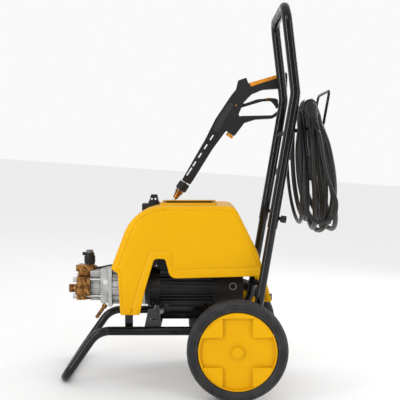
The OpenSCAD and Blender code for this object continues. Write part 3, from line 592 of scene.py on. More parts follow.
def outline(corners, insets=0.0, steps=6):
    """Points of a clockwise outline of (x, z, radius) corners in the XZ plane. Each side may be
    moved inwards by its own inset. Also gives, for each point, its two sides and its share of the
    way from the first to the second."""
    count = len(corners)
    if not isinstance(insets, (list, tuple)):
        insets = [insets] * count
    at = [Vector((c[0], c[1])) for c in corners]
    ways = [(at[(i + 1) % count] - at[i]).normalized() for i in range(count)]
    ins = [Vector((w.y, -w.x)) for w in ways]
    points = []
    for i in range(count):
        before, after = ways[i - 1], ways[i]
        cross = before.x * after.y - before.y * after.x
        if corners[i][2] <= 0:
            inwards = (ins[i - 1] * insets[i - 1] + ins[i] * insets[i]) / 2
            points.append((at[i] + inwards, (i - 1) % count, i, 0.5))
            continue
        p = at[i] + ins[i - 1] * insets[i - 1]
        q = at[i] + ins[i] * insets[i]
        away = ((q - p).x * after.y - (q - p).y * after.x) / cross
        corner = p + before * away
        mean = (insets[i - 1] + insets[i]) / 2
        radius = corners[i][2]
        radius = max(0.25, radius - mean if cross < 0 else radius + mean)
        sweep = math.acos(max(-1.0, min(1.0, before.dot(after))))
        reach = radius * math.tan(sweep / 2)
        inward = ins[i - 1] if cross < 0 else -ins[i - 1]
        middle = corner - before * reach + inward * radius
        spoke = -inward
        turn = -sweep if cross < 0 else sweep
        for k in range(steps + 1):
            t = k / steps
            c, s = math.cos(turn * t), math.sin(turn * t)
            out = Vector((spoke.x * c - spoke.y * s, spoke.x * s + spoke.y * c))
            points.append((middle + radius * out, (i - 1) % count, i, t))
    return points


def outline_row(corners, insets, depths, steps=6):
    """An outline as points in space, each side at its own depth along Y."""
    count = len(corners)
    if not isinstance(depths, (list, tuple)):
        depths = [depths] * count
    return [(p.x, mix(depths[a], depths[b], t), p.y)
            for p, a, b, t in outline(corners, insets, steps)]


def slab(corners, half, edge):
    """A flat part from Y -half to half, with its outline's edges rounded over."""
    shape = Shape()
    # The flat faces start a little inside the rounded edge
    rows = [(edge * 1.15, half)]
    for k in range(5):
        a = math.radians(90 * k / 4)
        rows.append((edge * (1 - math.sin(a)), half - edge * (1 - math.cos(a))))
    rows += [(inset, -y) for inset, y in rows[:0:-1]] + [(edge * 1.15, -half)]
    rings = [shape.add(outline_row(corners, inset, y, SLAB_STEPS)) for inset, y in rows]
    for a, b in zip(rings, rings[1:]):
        shape.strip(a, b)
    shape.fill(rings[0])
    shape.fill(rings[-1])
    return shape


# ---- Cords: the same routes as their solids in the frame, and their real turns ----

CABLE_D, HOSE_D = 9.5, 13.0
COIL_Z = 578
CABLE_ROUTE = [
    (4, 22, 318), (34, 22, 318), (62, 36, 314), (88, 64, 302), (108, 98, 286), (123, 132, 275),
    (138, 160, 274), (154, 170, 290), (164, 170, 330), (174, 170, 390), (184, 170, 450),
    (194, 170, 505), (212, 168, 550), (236, 162, 578), (257, 158, 600),
]
TAIL_ROUTE = [
    (286.1, -195.4, 664.1), (288, -206.5, 651.5), (291, -213, 628), (297, -213, 592),
    (306, -210, 555), (320, -204, 520), (332, -198, 488), (326, -194, 455), (297, -191, 441),
    (268, -188, 455), (258, -183, 490), (257, -172, 540), (257, -160, 600),
]
# Each pass of the cable's coil, as (turns, radius, x)
CABLE_PASSES = [
    (0, 159.5, 257), (0.456, 150, 256), (1, 151, 262), (1.456, 155, 265.5), (2, 163, 266.5),
    (2.456, 165, 249), (3, 166, 249.5), (3.456, 159.5, 257),
]
CABLE_START = 82
# The cable's turns bow out of their plane: their bottoms swing out and up, and their sides in
BOTTOM_OUT, BOTTOM_UP, BOW = 15, 14, 4
HANG_X, HANG_Z, HANG_DROP = 292, 678, 100
HOSE_TILT = 9
# Each pass of the hose over its hook: radius, place along the hook, tilt and yaw
HOSE_PASSES = [
    (150, -13, 4.2, -3), (150, 0, 7, 4), (150, 13, 10.2, -2), (161.5, 6.5, 8.3, 5.5),
    (161.5, -6.5, 5.2, -4.5), (173, -13, 3, 2), (173, 0, 8.8, -5.5), (173, 13, 11.2, 3.5),
]
HOSE_START = 52
# Share of a turn, on each side of the bottom, in which the hose moves over to its next pass
HOSE_CHANGE = 0.24
POINTS_A_TURN = 36
AT_HOSE_COIL = shift(HANG_X, 0, HANG_Z) @ turned(-HOSE_TILT, "Y") @ shift(0, 0, -HANG_DROP)


def rest_on_hook(angle, depth):
    """How far a turn sinks onto the hook's wires, by its angle from the top in degrees."""
    return depth * smooth_step((82 - abs(angle)) / 36)


def cable_turns():
    total = CABLE_PASSES[-1][0]
    count = round(total * POINTS_A_TURN)
    out = []
    for n in range(1, count):
        turns = total * n / count
        i = max(k for k in range(len(CABLE_PASSES) - 1) if CABLE_PASSES[k][0] <= turns)
        (t0, r0, x0), (t1, r1, x1) = CABLE_PASSES[i], CABLE_PASSES[i + 1]
        t = smooth_step((turns - t0) / (t1 - t0))
        angle = CABLE_START - 360 * turns
        near_top = (angle + 180) % 360 - 180
        r, a = mix(r0, r1, t), math.radians(angle)
        low = (1 - math.cos(a)) / 2
        x = mix(x0, x1, t) + BOTTOM_OUT * low ** 2 - BOW * abs(math.sin(a))
        z = COIL_Z + r * math.cos(a) - rest_on_hook(near_top, 8.5) + BOTTOM_UP * low ** 2
        out.append((x, r * math.sin(a), z))
    return out


def hose_pass(column, angle):
    """A value that a turn keeps over the top, and changes for the next turn's round the bottom."""
    k = (angle + 180) / 360
    i = math.floor(k)
    share = k - i
    last = len(HOSE_PASSES) - 1
    here = HOSE_PASSES[min(max(i, 0), last)][column]
    if share < HOSE_CHANGE:
        before = HOSE_PASSES[min(max(i - 1, 0), last)][column]
        return mix(before, here, smooth_step(0.5 + share / (2 * HOSE_CHANGE)))
    if share > 1 - HOSE_CHANGE:
        after = HOSE_PASSES[min(i + 1, last)][column]
        return mix(here, after, smooth_step((share - 1 + HOSE_CHANGE) / (2 * HOSE_CHANGE)))
    return here


def hose_turns():
    end = 360 * (len(HOSE_PASSES) - 1) + HOSE_START
    count = round((end + HOSE_START) / 360 * POINTS_A_TURN)
    out = []
    for n in range(count + 1):
        angle = -HOSE_START + (end + HOSE_START) * n / count
        near_top = (angle + 180) % 360 - 180
        a = math.radians(angle)
        low = (1 - math.cos(a)) / 2
        r = hose_pass(0, angle) + 2.5 * low * math.sin(0.37 * a)
        x = hose_pass(1, angle) + 2.2 * low * math.sin(1.7 * a + 1)
        yaw = math.radians(hose_pass(3, angle)) * smooth_step((abs(near_top) - 20) / 60)
        p = Vector((x + r * math.sin(a) * math.sin(yaw), r * math.sin(a),
                    r * math.cos(a) - HANG_DROP - rest_on_hook(near_top, 6)))
        out.append(shift(HANG_X, 0, HANG_Z) @ turned(-hose_pass(2, angle), "Y") @ p)
    return out


FITTING_Y, FITTING_Z, FITTING_TILT, STUB_TOP = 124, -18, 10, 58


def fitting_place(side):
    return AT_HOSE_COIL @ shift(0, side * FITTING_Y, FITTING_Z) @ turned(-FITTING_TILT * side, "X")


def hose_end(side):
    """The hose's first points out of a fitting, on the side of Y given by side."""
    return [fitting_place(side) @ Vector((0, 0, STUB_TOP + up)) for up in (0, 12, 26)]


def make_power_cable():
    points = curve_through(CABLE_ROUTE, 3)[:-1] + [Vector(CABLE_ROUTE[-1])]
    points += [Vector(p) for p in cable_turns()]
    points += curve_through(TAIL_ROUTE, 3)[::-1]
    path = curve_through(points, 2)
    cable = make_piece("power_cable_wound", swept(path, CABLE_D / 2, 14), LOOKS["cable_sheath"],
                       None)
    ring = [MACHINE @ p for p in path]
    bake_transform(cable)
    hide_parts("power_cable", "power_cable_coil")
    return cable, ring


def make_hose():
    points = hose_end(-1) + hose_turns() + hose_end(1)[::-1]
    path = curve_through(points, 2)
    hose = make_piece("hose_wound", swept(path, HOSE_D / 2, 16), LOOKS["hose_sheath"],
                      "handle")
    ring = [MACHINE @ p for p in path]
    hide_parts("hose_coil")
    return hose, ring


def make_plug():
    """Round mains plug, fluted where it is gripped, with a ribbed strain relief."""
    profile = [(4, 21.4), (13.6, 22), (15.5, 21.2), (16, 19.8), (16, 17.4), (15.2, 16.2),
               (13.9, 15.6), (13.9, 13.8), (14.8, 12.8), (15.2, 9), (14.8, 0), (13.6, -9),
               (11.8, -20), (10, -28), (9.2, -33)]
    for k in range(9):
        top, r = -34.5 - 5 * k, 8 - 0.2 * k
        profile += [(r, top), (r, top - 2.6), (r - 1.4, top - 3.1), (r - 1.4, top - 4.4)]
    profile += [(5.2, -80)]

    def flutes(radius, height, angle):
        grip = smooth_step((12 - height) / 4) * smooth_step((height + 24) / 10)
        return -0.9 * grip * (0.5 + 0.5 * math.cos(14 * angle)) ** 2

    place = AT_HOSE_COIL @ turned(44, "X") @ shift(-8, 0, 198.5) @ turned(-90, "X")
    plug = make_piece("plug_body", turned_solid(profile, 84, flutes), LOOKS["black_plastic"],
                      "handle", place)
    pins = Shape()
    for x in (-9.5, 9.5):
        pins.join(turned_solid([(2.4, 20), (2.4, 39), (1.9, 40.4), (0.9, 41)], 24), shift(x, 0, 0))
    pins = make_piece("plug_pins", pins, LOOKS["bright_steel"], "handle", place)
    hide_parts("power_plug")
    return plug, pins


def make_couplings():
    """A fluted swivel nut and a tapered sleeve on each end of the hose."""
    profile = [(11.1, -26), (12.9, -26), (13.5, -25.2), (13.5, -1), (12.6, 0), (9.6, 0.6),
               (9.6, 30)]
    for k in range(4):
        top, r = 34 + 6 * k, 9.2 - 0.5 * k
        profile += [(r, top - 3), (r, top), (r - 0.9, top + 0.6), (r - 0.9, top + 2.2)]
    profile += [(6.6, 58), (6.55, -7), (11.1, -7)]

    def flutes(radius, height, angle):
        return -0.8 * max(0.0, math.cos(16 * angle)) ** 2 if radius > 12.7 else 0

    couplings = Shape()
    for side in (-1, 1):
        couplings.join(revolve(profile, 96, flutes), fitting_place(side))
    couplings = make_piece("hose_couplings", couplings, LOOKS["black_plastic"],
                           "handle")
    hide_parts("hose_fittings")
    return couplings


power_cable, cable_line = make_power_cable()
hose, hose_line = make_hose()
plug, plug_pins = make_plug()
couplings = make_couplings()

# ---- Cover ----

COVER_HALF, COVER_WALL = 130, 3
# The side's outline, clockwise from the foot of the nose, as (x, z, corner radius)
COVER = [
    (-202, 200, 4), (-208, 306, 6), (-226, 318, 3), (-166.5, 476, 104.5), (-94, 476, 0),
    (36, 476, 0), (88, 476, 30), (147, 358, 90), (163.84, 300, 0), (183, 234, 4), (162, 234, 4),
    (144, 299, 6), (-75, 293, 20), (-88, 343, 8), (-116, 343, 10), (-139, 265, 60),
    (-153, 200, 4),
]
# How far the edge along each side is rounded over
ROUNDS = [2.5, 2.5, 13, 8, 8, 8, 7, 7, 7, 1.6, 1.6, 1.6, 1.6, 1.6, 1.6, 1.6, 1.6]
# Sides that the roof's sheet joins, from the nose to the lower edge of the rear
SHEET_SIDES = range(2, 9)
# Middle of the groove round the side's panel, corner by corner with the cover's outline
PANEL = [
    (-193.5, 210, 4), (-199.5, 308, 6), (-207, 318, 3), (-151, 466, 80), (-94, 466, 0),
    (36, 466, 0), (82, 466, 24), (138.6, 355, 80), (145, 332.6, 0), (147.3, 327, 3),
    (143, 322.5, 3), (122, 320, 60), (-64, 316, 14), (-70, 362, 8), (-127, 362, 12),
    (-159, 266, 80), (-175, 210, 4),
]
GROOVE_HALF, GROOVE_DEPTH = 2.4, 1.3
TRAY_HALF = 68
NOSE_CORNER, TRAY_CORNER, STRIP_END = 2, 4, 8


def cover_rows():
    """The side's rows from its panel to its edge, as two rows of points: the outer skin's and the
    inner skin's."""
    inner_y = COVER_HALF - COVER_WALL
    rows = []
    for way, drop in ((1.8, 0), (1, 0), (0.5, 0.72), (0, 1), (-0.5, 0.72), (-1, 0)):
        inset = way * GROOVE_HALF
        rows.append((outline_row(PANEL, inset, COVER_HALF - drop * GROOVE_DEPTH),
                     outline_row(PANEL, inset, inner_y)))
    for k in range(8):
        a = math.radians(90 * k / 7)
        back, down = 1 - math.sin(a), 1 - math.cos(a)
        outer = ([r * back for r in ROUNDS], [COVER_HALF - r * down for r in ROUNDS])
        wall = [COVER_WALL if i in SHEET_SIDES else 0 for i in range(len(COVER))]
        inner = ([w + max(0.5, r - w) * back for r, w in zip(ROUNDS, wall)],
                 [inner_y - (max(0.5, r - w) * down if w else 0) for r, w in zip(ROUNDS, wall)])
        rows.append((outline_row(COVER, *outer), outline_row(COVER, *inner)))
    return rows


def cover_shape():
    shape = Shape()
    skins = []
    numbering = outline(COVER)
    first = min(n for n, p in enumerate(numbering) if p[2] == NOSE_CORNER)
    last = max(n for n, p in enumerate(numbering) if p[2] == STRIP_END)
    tray = max(n for n, p in enumerate(numbering) if p[2] == TRAY_CORNER)
    edge = COVER_HALF - max(ROUNDS) - 3
    across = [edge, TRAY_HALF, 0, -TRAY_HALF, -edge]
    for skin in (0, 1):
        faces_before = len(shape.faces)
        edges = []
        for side in (1, -1):
            rows = [shape.add([(x, side * y, z) for x, y, z in row[skin]]) for row in cover_rows()]
            for a, b in zip(rows, rows[1:]):
                shape.strip(a, b)
            shape.fill(rows[0])
            edges.append(rows[-1][first:last + 1])
        strips = [edges[0]]
        for y in across:
            strips.append(shape.add([(shape.points[n].x, y, shape.points[n].z) for n in edges[0]]))
        strips.append(edges[1])
        for n, (a, b) in enumerate(zip(strips, strips[1:])):
            for i in range(len(a) - 1):
                if n in (2, 3) and i == tray - first:
                    continue
                shape.faces.append((a[i], a[i + 1], b[i + 1], b[i]))
        skins.append(shape.faces[faces_before:])
    close_rims(shape, *skins)
    return shape


def close_rims(shape, outer, inner):
    """Joins two skins with matching faces along their open edges."""
    twin = {a: b for f, g in zip(outer, inner) for a, b in zip(f, g)}
    uses = {}
    for face in outer:
        for i, a in enumerate(face):
            b = face[(i + 1) % len(face)]
            uses.setdefault(frozenset((a, b)), []).append((a, b))
    for found in uses.values():
        if len(found) == 1:
            a, b = found[0]
            shape.faces.append((b, a, twin[a], twin[b]))


def make_cover():
    cover = make_piece("cover_moulding", cover_shape(), LOOKS["yellow_plastic"],
                       "root", bevel=0.5, sharp=50)
    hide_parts("cover_shell")


make_cover()

# ---- Wheels ----

CAP_R = 96.7
CAP_TOP, CAP_FOOT = 25.2, 17.4
CROSS_HALF = 37
POCKET_R, POCKET_DEPTH, POCKET_RAMP = 92.5, 0.8, 2.2
# A pocket's wall, as (way in from its edge, share of its depth)
POCKET_WALL = ((-0.4, 0), (0, 0.06), (0.8, 0.3), (1.7, 0.75), (2.6, 0.96), (3.6, 1), (5, 1))


def wheel_place(side):
    return shift(AXLE_X, side * WHEEL_MID, AXLE_Z) @ turned(-90 * side, "X")


def tyre_profile():
    """Radius and height round the tyre's section: ribs on both walls, and grooves in the tread."""
    half = [(97.2, 19.6), (99, 21.6), (101, 22.8), (102.2, 23.2)]
    for k, top in enumerate((24.3, 25.0, 25.0, 24.2)):
        r = 103 + 4.2 * k
        half += [(r, top - 0.9), (r + 0.5, top), (r + 2.2, top), (r + 2.7, top - 0.9)]
    half += [(119.6, 22.4), (121.4, 21), (122.8, 18.6), (123.8, 15.4)]
    for w in (12.5, 5):
        half += [(124.6, w + 1.6), (123.2, w + 1), (123.2, w - 1), (124.8, w - 1.6)]
    return half + [(r, -w) for r, w in reversed(half)]


def tread(radius, height, angle):
    """Short notches across the tyre's shoulders."""
    if radius < 119.5 or abs(height) < 14.8:
        return 0
    return -1.3 * smooth_step((math.cos(60 * angle) - 0.25) / 0.5)


def pocket_corners(quarter):
    """The hollow between two arms of the cap's cross."""
    far = math.sqrt(POCKET_R ** 2 - CROSS_HALF ** 2)
    start = math.atan2(CROSS_HALF, far)
    span = math.pi / 2 - 2 * start
    corners = [(CROSS_HALF, CROSS_HALF, 4), (CROSS_HALF, far, 3)]
    corners += [(POCKET_R * math.cos(a), POCKET_R * math.sin(a), 0)
                for a in (math.pi / 2 - start - span * k / 12 for k in range(3, 10))]
    corners += [(far, CROSS_HALF, 3)]
    c, s = round(math.cos(quarter * math.pi / 2)), round(math.sin(quarter * math.pi / 2))
    return [(x * c - z * s, x * s + z * c, r) for x, z, r in corners]


def cap_shape():
    """A dished cap: its rim rounds over, and four soft pockets leave a raised cross."""
    shape = Shape()
    sides = 144
    rim = [(CAP_R, CAP_FOOT), (CAP_R, 22.6), (CAP_R - 0.5, 23.8), (CAP_R - 1.5, 24.7),
           (CAP_R - 2.8, CAP_TOP), (CAP_R - 4, CAP_TOP)]
    rings = []
    for r, h in rim:
        angles = [math.tau * k / sides for k in range(sides)]
        rings.append(shape.add([(r * math.cos(a), r * math.sin(a), h) for a in angles]))
    for a, b in zip(rings, rings[1:]):
        shape.strip(a, b)
    shape.fill(rings[0])
    holes = []
    for quarter in range(4):
        rows = []
        for inset, drop in POCKET_WALL:
            corners = pocket_corners(quarter)
            insets = [inset * POCKET_RAMP] * len(corners)
            insets[0] = insets[-1] = inset
            row = outline_row(corners, insets, CAP_TOP - drop * POCKET_DEPTH, 4)
            rows.append(shape.add([(x, z, y) for x, y, z in row]))
        for a, b in zip(rows, rows[1:]):
            shape.strip(a, b)
        shape.fill(rows[-1])
        holes.append(rows[0])
    shape.fill(rings[-1], holes)
    middle = [(14, 24.6), (14, CAP_TOP + 0.1), (12, CAP_TOP + 0.35), (9, CAP_TOP + 0.4),
              (0.6, CAP_TOP + 0.4)]
    shape.join(turned_solid(middle, 72))
    return shape


def make_wheels():
    for side, name in ((-1, "left"), (1, "right")):
        body = f"wheel_{name}"
        place = wheel_place(side)
        tyre = make_piece(f"tyre_{name}_ribbed", revolve(tyre_profile(), 360, tread),
                          LOOKS["tyre"], body, place, sharp=55)
        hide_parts(f"tyre_{name}")
        cap = make_piece(f"cap_{name}_crossed", cap_shape(), LOOKS["yellow_plastic"],
                         body, place, sharp=55)
        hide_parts(f"hub_cap_{name}")


make_wheels()

# ---- Gun ----

GUN_ZERO = (-49, 183, 517)
LANCE_ANGLE = 56.7
AT_GUN = shift(*GUN_ZERO)
ALONG_LANCE = AT_GUN @ turned(90 - LANCE_ANGLE, "Y")
# Half the width that the pads and ribs stand on
GUN_SIDE = 14


def make_gun():
    pads = Shape()
    pad = [(84, 160, 3), (96, 186, 14), (132, 240, 4), (146, 234, 3), (118, 184, 10), (101, 152, 3)]
    for side in (-1, 1):
        pads.join(slab(pad, 0.8, 0.6), shift(0, side * GUN_SIDE, 0))
    make_piece("gun_pads", pads, CHECKERED, "gun", AT_GUN)
    ribs = Shape()
    for side in (-1, 1):
        for offset in (2.5, 10):
            far = offset + 2.2
            bar = slab([(offset, 30, 1), (offset, 170, 1), (far, 170, 1), (far, 30, 1)], 0.7, 0.5)
            ribs.join(bar, turned(90 - LANCE_ANGLE, "Y") @ shift(0, side * GUN_SIDE, 0))
    make_piece("gun_ribs", ribs, LOOKS["black_plastic"], "gun", AT_GUN)
    profile = [(5.2, -43), (6.8, -42.4), (9.9, -24.3), (11.9, -24), (11.9, -15.6), (7, -15.2)]
    cone = turned_solid(profile, 48)
    make_piece("lance_cone", cone, LOOKS["brass"], "gun", ALONG_LANCE, bevel=0.3)


make_gun()

# ---- Small pieces that the frame leaves out ----


def thread(radius, start, end, pitch, depth=0.45):
    """Thread ridges round a cylinder, from start to end along Z."""
    profile = [(radius - 1, start)]
    count = int((end - start - 1) / pitch)
    for k in range(count):
        z = start + 0.5 + k * pitch
        profile += [(radius + 0.05, z), (radius + depth, z + pitch * 0.35),
                    (radius + depth, z + pitch * 0.5), (radius + 0.05, z + pitch * 0.85)]
    profile += [(radius - 1, end)]
    return revolve(profile, 64)


def ring_bead(radius, bead, lumps):
    """A weld bead round a joint, with its ripples."""
    shape = Shape()
    sides = 96
    rows = []
    for k in range(sides):
        a = math.tau * k / sides
        r = bead * (1 + 0.12 * math.cos(lumps * a))
        row = []
        for m in range(8):
            b = math.tau * m / 8
            d = radius + r * math.cos(b)
            row.append((d * math.cos(a), d * math.sin(a), r * math.sin(b)))
        rows.append(shape.add(row))
    for a, b in zip(rows, rows[1:] + rows[:1]):
        shape.strip(a, b)
    return shape


OUTLET_Z, INLET_X = 249, -308
AXLE_PLATE = 7.2
COVER_SCREWS = ((-180, 212), (172, 246))
SLEEVE_R = 12.7
UPRIGHT_LEAN = 9.6
UPRIGHT_X, RAIL_Z, HALF_TRACK = 136, 164, 150
HOOK_Z = 662


def upright_at(z):
    return UPRIGHT_X + (z - RAIL_Z) * math.tan(math.radians(UPRIGHT_LEAN))


def on_upright(side, z):
    return shift(upright_at(z), side * HALF_TRACK, z) @ turned(UPRIGHT_LEAN, "Y")


def make_pump_threads():
    threads = Shape()
    threads.join(thread(11, -349.6, -331.4, 1.9), shift(0, 0, OUTLET_Z) @ turned(90, "Y"))
    threads.join(thread(13.2, 50.6, 71.6, 1.8), shift(INLET_X, 0, OUTLET_Z) @ turned(-90, "X"))
    make_piece("pump_threads", threads, LOOKS["brass"], "root")


def make_weld_beads():
    beads = Shape()
    hook_x = upright_at(HOOK_Z)
    for side in (-1, 1):
        place = shift(hook_x, side * (HALF_TRACK - SLEEVE_R - 0.2), HOOK_Z)
        beads.join(ring_bead(6.4, 1.5, 22), place @ turned(90, "X"))
    for side in (-1, 1):
        place = shift(hook_x + 5.2, side * 100, HOOK_Z + 4)
        beads.join(ring_bead(3.7, 1.2, 16), place @ turned(90, "Y"))
    make_piece("handle_welds", beads, LOOKS["black_paint"], "handle")
    axle_beads = Shape()
    for side in (-1, 1):
        for y in (-AXLE_PLATE / 2, AXLE_PLATE / 2):
            place = shift(AXLE_X, side * HALF_TRACK + y, AXLE_Z)
            axle_beads.join(ring_bead(10.6, 1.3, 30), place @ turned(90, "X"))
    make_piece("axle_welds", axle_beads, LOOKS["black_paint"], "root")


def make_valve_caps():
    """Hexagon plugs over the pump's valves, two rows on its sides and a pair in front."""
    hexagon = [(8.4, -1), (9.6, 0), (9.6, 5), (8.6, 6), (4.6, 6.2), (4.2, 5.2), (0.6, 5)]
    caps = Shape()
    for z in (237, 271):
        for side in (-1, 1):
            place = shift(-307, side * 42, z) @ turned(-90 * side, "X")
            caps.join(turned_solid(hexagon, 6), place)
    for y in (-28, 28):
        caps.join(turned_solid(hexagon, 6), shift(-325, y, 252) @ turned(-90, "Y"))
    make_piece("valve_caps", caps, LOOKS["brass"], "root", bevel=0.4)


def make_cowl_ring():
    ring = revolve([(6.8, -1), (6.8, 1.4), (7.4, 2), (9.6, 2), (10.2, 1.4), (10.2, -1)], 48)
    make_piece("cowl_ring", ring, GREY_PLASTIC, "root",
               shift(86, -60.6, 263) @ turned(90, "X"))


def make_screw_covers():
    profile = [(6.6, 129.6), (6.6, 133.2), (5.8, 134.6), (3, 135), (0.6, 135)]
    covers = Shape()
    for x, z in COVER_SCREWS:
        for side in (-1, 1):
            covers.join(turned_solid(profile, 36), shift(x, 0, z) @ turned(-90 * side, "X"))
    make_piece("screw_covers", covers, LOOKS["yellow_plastic"], "root")


def make_capacitor_fittings():
    """The capacitor's two leads, the webs under the motor, and the capacitor's strap."""
    leads = Shape()
    for y, out in ((-14, 4), (-24, 7)):
        lead = curve_through([(-128, y * 0.6, 341), (-122, y * 0.8, 345 + out),
                              (-111, y, 344 + out), (-107.5, y, 330), (-107.5, y, 316),
                              (-100, y, 309)], 5)
        leads.join(swept(lead, 2.1, 12))
    make_piece("capacitor_leads", leads, LOOKS["cable_sheath"], "root")
    web = slab([(-84, 188, 1), (-84, 206, 3), (12, 206, 3), (12, 188, 1)], 2, 0.6)
    webs = Shape()
    for side in (-1, 1):
        webs.join(web, shift(0, side * 33, 0))
    make_piece("base_webs", webs, LOOKS["black_paint"], "root")
    corners = [(-114, 304, 1), (-114, 334, 1), (-103.6, 334, 1), (-103.6, 304, 1)]
    make_piece("capacitor_strap", slab(corners, 7, 0.8), LOOKS["black_plastic"],
               "root", shift(0, -20, 0))


def make_tray_lip():
    """A low rounded wall round the tray in the roof."""
    x0, x1, y = -98, 40, 72
    corners = [(x0, y, 4), (x1, y, 4), (x1, -y, 4), (x0, -y, 4)]
    section = ((0.3, 474.6), (0.3, 480.6), (0.9, 481.6), (2.2, 482), (3.2, 481.4), (3.8, 480),
               (4.4, 474.6))
    lip = Shape()
    rows = []
    for out, height in section:
        row = outline_row(corners, -out, height)
        rows.append(lip.add([(x, y, z) for x, z, y in row]))
    for a, b in zip(rows, rows[1:] + rows[:1]):
        lip.strip(a, b)
    make_piece("tray_lip", lip, LOOKS["yellow_plastic"], "root")


def make_knob_cap():
    cap = turned_solid([(9.4, 345), (9.4, 350.6), (8.6, 352), (2, 352.4)], 40)
    make_piece("knob_cap", cap, GREY_PLASTIC, "pressure_knob", shift(-295, 0, 0),
               bevel=0.3)


def make_cable_clip():
    """Two rings that hold the cable to the far upright, below where the handle slides to."""
    clip = Shape()
    clip.join(revolve([(5, -4), (5, 4), (7, 4), (7, -4)], 32), shift(-2.8, 20, 0))
    clip.join(revolve([(11.05, -4), (11.05, 4), (13.6, 4), (13.6, -4)], 48))
    make_piece("cable_clip", clip, LOOKS["black_plastic"], "root",
               on_upright(1, 296), bevel=0.3)


def make_cable_relief():
    """The ribbed sleeve that the cable leaves its gland through."""
    relief = [(4.9, 0)]
    for k in range(6):
        r, foot = 8.2 - 0.4 * k, 4.4 * k
        relief += [(r, 0.6 + foot), (r, 3 + foot), (r - 1.3, 3.5 + foot), (r - 1.3, 4.6 + foot)]
    relief += [(4.9, 28)]
    make_piece("gland_sleeve", revolve(relief, 40), LOOKS["rubber"], "root",
               shift(4.2, 22, 318) @ turned(90, "Y"))


make_pump_threads()
make_weld_beads()
make_valve_caps()
make_cowl_ring()
make_screw_covers()
make_capacitor_fittings()
make_tray_lip()
make_knob_cap()
make_cable_clip()
make_cable_relief()

# ---- The frame's own parts ----

# Widths of the bevels in mm; the parts named here have their flat faces merged first
PLAIN_BEVEL = 0.25
BEVELS = {
    "motor_housing": 0.35, "fan_cowl": 0.5, "end_shields": 0.6, "crankcase": 0.8, "pump_head": 0.8,
    "pump_bell": 0.8, "unloader_body": 0.8, "top_tray": 0.8, "switch_base": 1.0, "switch_knob": 0.9,
    "trigger": 1.1, "trigger_catch": 0.6, "gun_trim": 1.0, "lance_nut": 0.5, "pressure_knob": 0.5,
    "clamp_knob_left": 0.6, "clamp_knob_right": 0.6, "lance_holster": 0.5, "terminal_box": 1.0,
    "cross_bars": 0.5, "motor_brackets": 0.5, "axle_plates": 0.5, "motor_base": 0.6, "screws": 0.4,
    "tie_bolts": 0.4, "rim_left": 0.5, "rim_right": 0.5, "hose_fittings": 0.6, "chemical_barb": 0.2,
    "cable_gland": 0.4, "capacitor": 0.8, "water_inlet": 0.4, "outlet_connector": 0.4,
}


# Parts that look unlike the rest of their material slot
OWN_LOOKS = {"handle_crossbar": SATIN_BLACK, "capacitor": LOOKS["grey_plate"]}


def finish_frame_parts():
    slots = {part["node"]: part["material_slot"] for part in frame["record"]["subparts"]}
    for name, node in NODES.items():
        mesh = node.data
        for layer in ("custom_normal", "sharp_edge"):
            if layer in mesh.attributes:
                mesh.attributes.remove(mesh.attributes[layer])
        mesh.polygons.foreach_set("use_smooth", [True] * len(mesh.polygons))
        mesh.materials.clear()
        mesh.materials.append(OWN_LOOKS.get(name) or LOOKS[slots[name]])
        weld = node.modifiers.new("weld", "WELD")
        weld.merge_threshold = 0.00001
        if name in BEVELS:
            flat = node.modifiers.new("flat faces", "DECIMATE")
            flat.decimate_type = "DISSOLVE"
            flat.angle_limit = math.radians(0.4)
        soften(node, BEVELS.get(name, PLAIN_BEVEL), 32)


finish_frame_parts()

# ---- Floor and light ----

DIM_WALL, BRIGHT_WALL = 0.36, 0.95


def floor_look():
    look = Look("floor", roughness=0.6)
    look.colour(look.blend(look.noise(1.2, 2), (0.93, 0.93, 0.93), (0.96, 0.96, 0.96)))
    return look.material


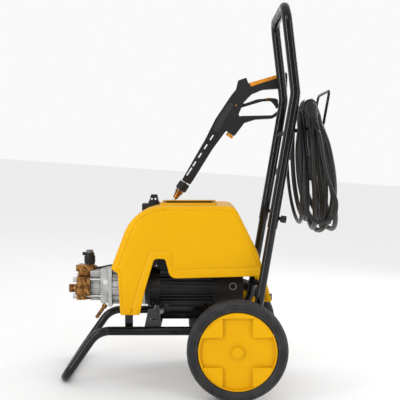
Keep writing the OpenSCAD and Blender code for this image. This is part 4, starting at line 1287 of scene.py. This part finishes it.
def make_floor():
    mesh = bpy.data.meshes.new("floor")
    reach = 30
    corners = [(-reach, -reach, 0), (reach, -reach, 0), (reach, reach, 0), (-reach, reach, 0)]
    mesh.from_pydata(corners, [], [(0, 1, 2, 3)])
    mesh.materials.append(floor_look())
    floor = bpy.data.objects.new("floor", mesh)
    bpy.context.scene.collection.objects.link(floor)


def soft_light(name, place, target, size, power):
    data = bpy.data.lights.new(name, "AREA")
    data.shape = "RECTANGLE"
    data.size, data.size_y = size
    data.energy = power
    light = bpy.data.objects.new(name, data)
    light.location = place
    light.rotation_mode = "QUATERNION"
    light.rotation_quaternion = (Vector(target) - Vector(place)).to_track_quat("-Z", "Y")
    bpy.context.scene.collection.objects.link(light)


def make_world():
    """A studio whose walls are darker behind the camera than behind and above the object."""
    world = bpy.context.scene.world or bpy.data.worlds.new("studio")
    bpy.context.scene.world = world
    world.use_nodes = True
    tree = world.node_tree
    background = tree.nodes["Background"]
    background.inputs["Color"].default_value = (1, 1, 1, 1)
    way = tree.nodes.new("ShaderNodeTexCoord")
    split = tree.nodes.new("ShaderNodeSeparateXYZ")
    back_and_up = tree.nodes.new("ShaderNodeMath")
    spread = tree.nodes.new("ShaderNodeMapRange")
    spread.interpolation_type = "SMOOTHSTEP"
    for socket, number in zip(list(spread.inputs)[1:5], (-0.7, 0.5, DIM_WALL, BRIGHT_WALL)):
        socket.default_value = number
    tree.links.new(way.outputs["Generated"], split.inputs[0])
    tree.links.new(split.outputs["Y"], back_and_up.inputs[0])
    tree.links.new(split.outputs["Z"], back_and_up.inputs[1])
    tree.links.new(back_and_up.outputs[0], spread.inputs[0])
    tree.links.new(spread.outputs[0], background.inputs["Strength"])


def make_light():
    make_world()
    middle = (0, 0, 0.45)
    soft_light("key", (-2.1, -2.4, 1.1), middle, (0.22, 2.2), 30)
    soft_light("front", (-0.4, -3.2, 2.2), middle, (1.6, 1.0), 14)
    soft_light("fill", (2.3, -1.8, 1.0), middle, (0.2, 2.0), 12)
    soft_light("rim", (1.6, 1.6, 1.5), middle, (0.4, 1.8), 14)
    bpy.context.scene.view_settings.view_transform = "Standard"


make_floor()
make_light()
